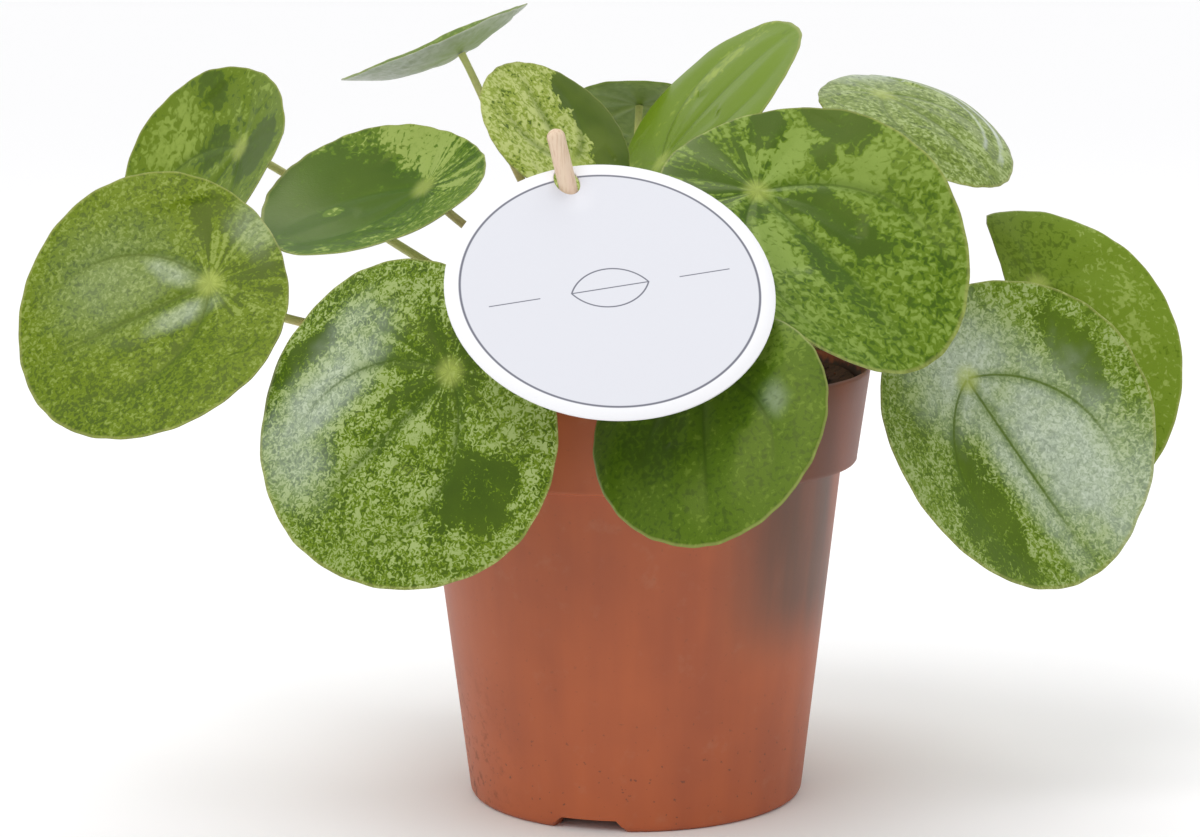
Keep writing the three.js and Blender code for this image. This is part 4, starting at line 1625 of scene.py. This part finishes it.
    return [
        Leaf(1, (-103, -30, 135), -107, 59, -60, 71, 72, olive, fold=5, curl=-2, node=107, rise=12),
        Leaf(2, (-102, 30, 164), -145, 63, -30, 72, 72, coarse, dome=-4, fold=5, curl=-3, node=110, rise=22),
        Leaf(3, (-52, -5, 156), -128, 29, -25, 57, 69, half, dome=-7, fold=3, curl=1, node=115, rise=45),
        Leaf(4, (-43, -68, 118), -115, 73, -42, 76, 81, worm, dome=2, fold=-3, curl=2, node=108, rise=45),
        Leaf(5, (-44, 26, 189), 183, 22, -60, 51, 54, plain, dome=-6, node=119, rise=42),
        Leaf(6, (-15, 9, 161), -46, 51, 185, 44, 46, split, fold=1, curl=1, node=124, rise=62),
        Leaf(7, (3, 70, 173), 80, 35, 0, 54, 52, back, dome=2, node=116, rise=25),
        Leaf(8, (8, 25, 160), -158, 50, 164, 68, 66, lime, dome=2, fold=2, curl=-1, node=122, rise=60),
        Leaf(9, (30, -27, 156), -77, 47, 34, 84, 69, quilt, dome=-2, fold=9, curl=-5, node=113, rise=50),
        Leaf(10, (15, -71, 118), -121, 56, 20, 60, 59, forest, dome=3, node=105, rise=48),
        Leaf(11, (82, -22, 109), -68, 72, 31, 80, 73, painted_sheen_mottle, dome=-1, fold=11, curl=1, node=106, rise=56),
        Leaf(12, (106, 22, 127), -69, 66, 0, 85, 71, moss, dome=2, fold=6, curl=-4, node=110, rise=35,
             flat=(195, 345)),
        Leaf(13, (65, 20, 177), -48, 30, 16, 54, 56, glossy, dome=5, fold=2, node=116, rise=50),
        Leaf(14, (48, 58, 143), 55, 50, 0, 62, 60, back, dome=3, node=110, rise=45),
        Leaf(15, (-20, 78, 135), 100, 60, 0, 66, 62, olive, dome=3, node=106, rise=45),
        Leaf(16, (5, -9, 145), -60, 40, 0, 24, 22, plain, dome=1, node=126, rise=60, rings=24, sectors=96),
        Leaf(17, (-8, -8, 140), -150, 40, 0, 18, 16, plain, dome=1, node=127, rise=60, rings=24, sectors=96),
    ]


# The label


@dataclass(frozen=True)
class CardFinish:
    """Smooth white card with a thin printed ring, two side rules and a plain leaf drawn in line."""

    paper: Colour = tone(217, 218, 225)
    border: Colour = tone(240, 240, 243)
    ink: Colour = tone(84, 86, 102)
    fleck: Colour = tone(222, 224, 230)
    ring: float = 34.4
    line: float = 0.42
    turn: float = 10.0
    rule: Pair = (16.5, 28.5)
    lobe: float = 10.2
    lobe_offset: float = 4.6

    def material(self) -> bpy.types.Material:
        """Returns the material."""
        paint = Paint("label card", {"Specular IOR Level": 0.35, "Coat Weight": 0.05, "Coat Roughness": 0.35})
        place = paint.plane_place("CardPlane")
        x, y, _ = paint.split(place)
        away = paint.measure("LENGTH", paint.join(x, y, 0.0))
        fibre = paint.noise(place, 0.7, 4.0, 0.6)
        cloud = paint.noise(place, 0.05, 2.0)
        colour = paint.mix(away.rise(self.ring - 0.3, self.ring + 0.3), self.paper, self.border)
        colour = paint.mix((fibre * 0.5 + cloud * 0.5).rise(0.3, 0.8) * 0.12, colour, self.fleck)
        ring = (away - self.ring).size().rise(self.line, self.line * 0.3)
        turn = math.radians(self.turn)
        level = y * math.cos(turn) - x * math.sin(turn)
        along = x * math.cos(turn) + y * math.sin(turn)
        start, end = self.rule
        out = along.size()
        between = out.rise(start - 0.1, start + 0.1) * out.rise(end + 0.1, end - 0.1)
        rule = level.size().rise(0.2, 0.08) * between
        turned_place = paint.join(along, level, 0.0)
        first = paint.measure("DISTANCE", turned_place, (0.0, -self.lobe_offset, 0.0))
        second = paint.measure("DISTANCE", turned_place, (0.0, self.lobe_offset, 0.0))
        leaf = first.most(second)
        outline = (leaf - self.lobe).size().rise(0.26, 0.1)
        rib = level.size().rise(0.22, 0.08) * leaf.rise(self.lobe, self.lobe - 0.2)
        drawn = outline.most(rib)
        printed = ring.most(rule).most(drawn)
        colour = paint.mix(printed * 0.9, colour, self.ink)
        paint.colour(colour)
        paint.roughness(0.5 + 0.1 * fibre)
        paint.bump(fibre, 0.03, 0.4)
        return paint.material

    def back_material(self) -> bpy.types.Material:
        """Returns the material of the card's plain back and edge."""
        paint = Paint("label card back", {"Specular IOR Level": 0.3})
        place = paint.plane_place("CardPlane")
        fibre = paint.noise(place, 0.7, 4.0, 0.6)
        paint.colour(paint.mix(fibre.rise(0.3, 0.8) * 0.3, self.border, tone(218, 218, 220)))
        paint.roughness(0.6 + 0.1 * fibre)
        paint.bump(fibre, 0.03, 0.4)
        return paint.material


@dataclass(frozen=True)
class StickFinish:
    """Plain pale wood with fine grain along it."""

    wood: Colour = tone(228, 206, 180)
    grain: Colour = tone(202, 172, 142)
    blush: Colour = tone(224, 190, 172)

    def material(self) -> bpy.types.Material:
        """Returns the material."""
        paint = Paint("stick wood", {"Specular IOR Level": 0.35})
        x, y, z = paint.split(paint.solid_place())
        place = paint.join(x * 1000, y * 1000, z * 60)
        lines = paint.noise(place, 1.6, 4.0, 0.6)
        cloud = paint.noise(place, 0.25, 2.0)
        colour = paint.mix(lines.rise(0.42, 0.68) * 0.8, self.wood, self.grain)
        colour = paint.mix(cloud.rise(0.45, 0.7) * 0.5, colour, self.blush)
        paint.colour(colour)
        paint.roughness(0.6 + 0.2 * lines)
        paint.bump(lines, 0.12, 0.8)
        return paint.material


@dataclass(frozen=True)
class Label:
    """A thin round card that leans back, threaded on a round stick by a slot near its edge."""

    radius: float = 38.0
    thickness: float = 0.6
    softness: float = 0.12
    centre: Point = (-6.0, -71.0, 137.4)
    facing: float = -84.0
    tilt: float = 44.0
    slot_width: float = 5.8
    slot_length: float = 8.4
    slot_at: Pair = (-7.5, 32.8)
    stick_radius: float = 2.2
    stick_above: float = 12.5
    stick_lean: Pair = (-0.23, -0.05)
    stick_foot: float = 69.0
    sides: int = 160

    def place(self) -> tuple[np.ndarray, np.ndarray]:
        """Returns the card's axes as rows, to its side, uphill and out of its face, and its middle."""
        facing, tilt = math.radians(self.facing), math.radians(self.tilt)
        level = np.array([math.cos(facing), math.sin(facing), 0.0])
        up = np.array([0.0, 0.0, 1.0])
        normal = level * math.sin(tilt) + up * math.cos(tilt)
        downhill = level * math.cos(tilt) - up * math.sin(tilt)
        side = np.cross(normal, downhill)
        return np.stack([side, -downhill, normal]), np.array(self.centre)

    def stick_axis(self) -> np.ndarray:
        """Returns the stick's direction."""
        return unit(np.array([*self.stick_lean, 1.0]))

    def stick_through(self) -> np.ndarray:
        """Returns the point where the stick passes the card."""
        axes, middle = self.place()
        return middle + np.array([*self.slot_at, 0.0]) @ axes

    def card_skin(self) -> Skin:
        """Returns the card's skin, with its slot and soft edges."""
        axes, middle = self.place()
        turns = np.arange(self.sides) * 2 * np.pi / self.sides
        along = axes @ self.stick_axis()
        lean = math.atan2(along[1], along[0]) - math.pi / 2
        hole = np.stack([self.slot_width / 2 * np.cos(turns), self.slot_length / 2 * np.sin(turns)], axis=1)
        spin = np.array([[math.cos(lean), -math.sin(lean)], [math.sin(lean), math.cos(lean)]])
        slot = hole @ spin.T + np.array(self.slot_at)
        heading = np.arctan2(slot[:, 1] - self.slot_at[1], slot[:, 0] - self.slot_at[0])
        ways = np.stack([np.cos(heading), np.sin(heading)], axis=1)
        start = np.array(self.slot_at)
        dot = ways @ start
        reach = -dot + np.sqrt(dot**2 - start @ start + self.radius**2)
        outer = start + ways * reach[:, None]
        half, soft = self.thickness / 2, self.softness
        flats = [(slot, half - soft), (slot + ways * soft, half)]
        flats += [(slot + (outer - slot) * share, half) for share in (0.1, 0.3, 0.55, 0.8, 0.93)]
        flats += [(outer * (1 - soft / self.radius), half), (outer, half - soft)]
        rings = [np.column_stack([flat, np.full(self.sides, height)]) for flat, height in flats]
        rings += [ring * np.array([1, 1, -1]) for ring in reversed(rings)]
        local = np.vstack(rings)
        faces, looks = [], []
        for row in range(len(rings)):
            low, high = row * self.sides, (row + 1) % len(rings) * self.sides
            for i in range(self.sides):
                j = (i + 1) % self.sides
                faces.append((low + i, high + i, high + j, low + j))
                looks.append(0 if row < len(flats) - 1 else 1)
        plane = local[:, :2] / PLANE_SCALE + 0.5
        return Skin(local @ axes + middle, faces, {"CardPlane": plane}, np.array(looks))

    def stick_skin(self) -> Skin:
        """Returns the stick's skin, with a domed top and a tapered foot."""
        through, axis = self.stick_through(), self.stick_axis()
        foot = through + axis * (self.stick_foot - through[2]) / axis[2]
        length = float((through[2] + self.stick_above - self.stick_foot) / axis[2])
        radius = self.stick_radius
        rows = [(0.0, 0.0), (radius * 0.4, 0.0), (radius * 0.75, 2.2), (radius, 5.0)]
        rows += [(radius - 0.02, z) for z in np.linspace(8, length - radius - 0.6, 60).tolist()]
        rows += [
            (radius * math.cos(a), length - radius * 0.9 + radius * 0.9 * math.sin(a))
            for a in np.linspace(0, 1.45, 9).tolist()
        ]
        rows.append((0.0, length))
        skin = turned(rows, 40)
        out = unit(skin.points * np.array([1, 1, 0]) + 1e-9)
        wear_and_shade = np.minimum(0, wave_noise(skin.points * np.array([1, 1, 0.15]), 1.6, 12)) * 0.1
        skin.points += out * wear_and_shade[:, None]
        aim = Vector((0, 0, 1)).rotation_difference(Vector(axis.tolist())).to_matrix()
        skin.points = skin.points @ np.array(aim).T + foot
        return skin

    def build(self, card: CardFinish, stick: StickFinish) -> list[bpy.types.Object]:
        """Builds and dresses the card and its stick."""
        disc = self.card_skin().piece("round_card", [card.material(), card.back_material()], 50.0)
        rod = self.stick_skin().piece("wooden_stick", [stick.material()], 60.0)
        return [settle(disc, "card", "label_card"), settle(rod, "stick", "label_stick")]


# The studio


@dataclass(frozen=True)
class SoftLight:
    """A square soft light that looks at the plant."""

    name: str
    at: Point
    size: float
    power: float
    colour: Colour = (1.0, 1.0, 1.0, 1.0)

    def build(self) -> None:
        """Hangs the light."""
        lamp = bpy.data.lights.new(self.name, "AREA")
        lamp.shape = "SQUARE"
        lamp.size = self.size
        lamp.energy = self.power
        lamp.color = self.colour[:3]
        made = bpy.data.objects.new(self.name, lamp)
        made.location = self.at
        aim = Vector((0, 0, 0.12)) - Vector(self.at)
        made.rotation_euler = aim.to_track_quat("-Z", "Y").to_euler()
        bpy.context.scene.collection.objects.link(made)


@dataclass(frozen=True)
class Studio:
    """A pale floor, soft white light and the camera."""

    camera_at: Point = (-0.00858, -0.7307, 0.2083)
    camera_pitch: float = 8.70
    camera_roll: float = -0.47
    focal: float = 87.0
    sensor: float = 36.0
    floor_size: float = 80.0
    floor_tone: Colour = tone(251, 251, 252)
    sky: float = 0.78
    key: float = 0.95
    key_width: float = 45.0
    key_from: Point = (-0.45, -0.55, 1.0)

    def build(self) -> None:
        """Builds the studio round the plant."""
        self._camera()
        self._floor()
        self._sky()
        self._sun()
        SoftLight("top light", (0.1, 0.5, 1.5), 0.8, 5.0).build()
        bpy.context.scene.view_settings.view_transform = "Standard"

    def _camera(self) -> None:
        """Stands the camera where the photograph was taken from."""
        lens = bpy.data.cameras.new("camera")
        lens.lens = self.focal
        lens.sensor_width = self.sensor
        lens.clip_start = 0.01
        made = bpy.data.objects.new("camera", lens)
        pitch = Matrix.Rotation(math.radians(90 - self.camera_pitch), 4, "X")
        roll = Matrix.Rotation(math.radians(self.camera_roll), 4, "Z")
        made.matrix_world = Matrix.Translation(self.camera_at) @ pitch @ roll
        bpy.context.scene.collection.objects.link(made)
        bpy.context.scene.camera = made

    def _floor(self) -> None:
        """Lays the floor."""
        half = self.floor_size / 2 / MM
        corners = half * np.array([(-1, -1, 0), (1, -1, 0), (1, 1, 0), (-1, 1, 0)], dtype=float)
        paint = Paint("studio floor", {"Roughness": 0.9, "Specular IOR Level": 0.1})
        cloud = paint.noise(paint.solid_place(), 3.0, 2.0)
        paint.colour(paint.mix(cloud * 0.04, self.floor_tone, tone(246, 246, 248)))
        Skin(corners, [(0, 1, 2, 3)]).piece("studio_floor", [paint.material])

    def _sun(self) -> None:
        """Hangs a wide, far light in front and to the left, which lights the plant and the floor alike."""
        lamp = bpy.data.lights.new("key light", "SUN")
        lamp.energy = self.key
        lamp.angle = math.radians(self.key_width)
        made = bpy.data.objects.new("key light", lamp)
        made.rotation_euler = (-Vector(self.key_from)).to_track_quat("-Z", "Y").to_euler()
        bpy.context.scene.collection.objects.link(made)

    def _sky(self) -> None:
        """Lights everything evenly from all round."""
        world = bpy.data.worlds.new("studio")
        world.use_nodes = True
        background = world.node_tree.nodes["Background"]
        background.inputs["Color"].default_value = (1.0, 1.0, 1.0, 1.0)
        background.inputs["Strength"].default_value = self.sky
        bpy.context.scene.world = world


def plain(bounds: Sequence[Sequence[float]]) -> list[list[float]]:
    """Returns a box's corners as plain lists."""
    return [[float(value) for value in corner] for corner in bounds]


def main() -> None:
    """Builds the plant, its pot, its label and the studio."""
    logging.basicConfig(level=logging.INFO, format="%(message)s")
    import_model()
    Studio().build()
    pot = Pot()
    pot.build(PotFinish())
    Soil(pot).build(SoilFinish())
    stem = Stem()
    stalk = StalkFinish().material()
    under = UndersideFinish().material("leaf underside")
    # Painted reflection and light: leaf 5's underside is painted grey-white like the sky's sheen on its top,
    # and paler for light bounced from the floor.
    sheen_grey = UndersideFinish(
        tone(204, 210, 202), tone(178, 188, 168), tone(210, 214, 204), tone(140, 170, 60)
    )
    olive = UndersideFinish(tone(134, 160, 56), tone(110, 138, 40), tone(146, 168, 72), tone(98, 126, 32))
    special = {5: sheen_grey.material("silver underside"), 7: olive.material("olive underside")}
    stem.build(StemFinish(), stalk)
    for leaf in crown():
        leaf.build(stem, special.get(leaf.number, under), stalk)
    Label().build(CardFinish(), StickFinish())


if __name__ == "__main__":
    main()
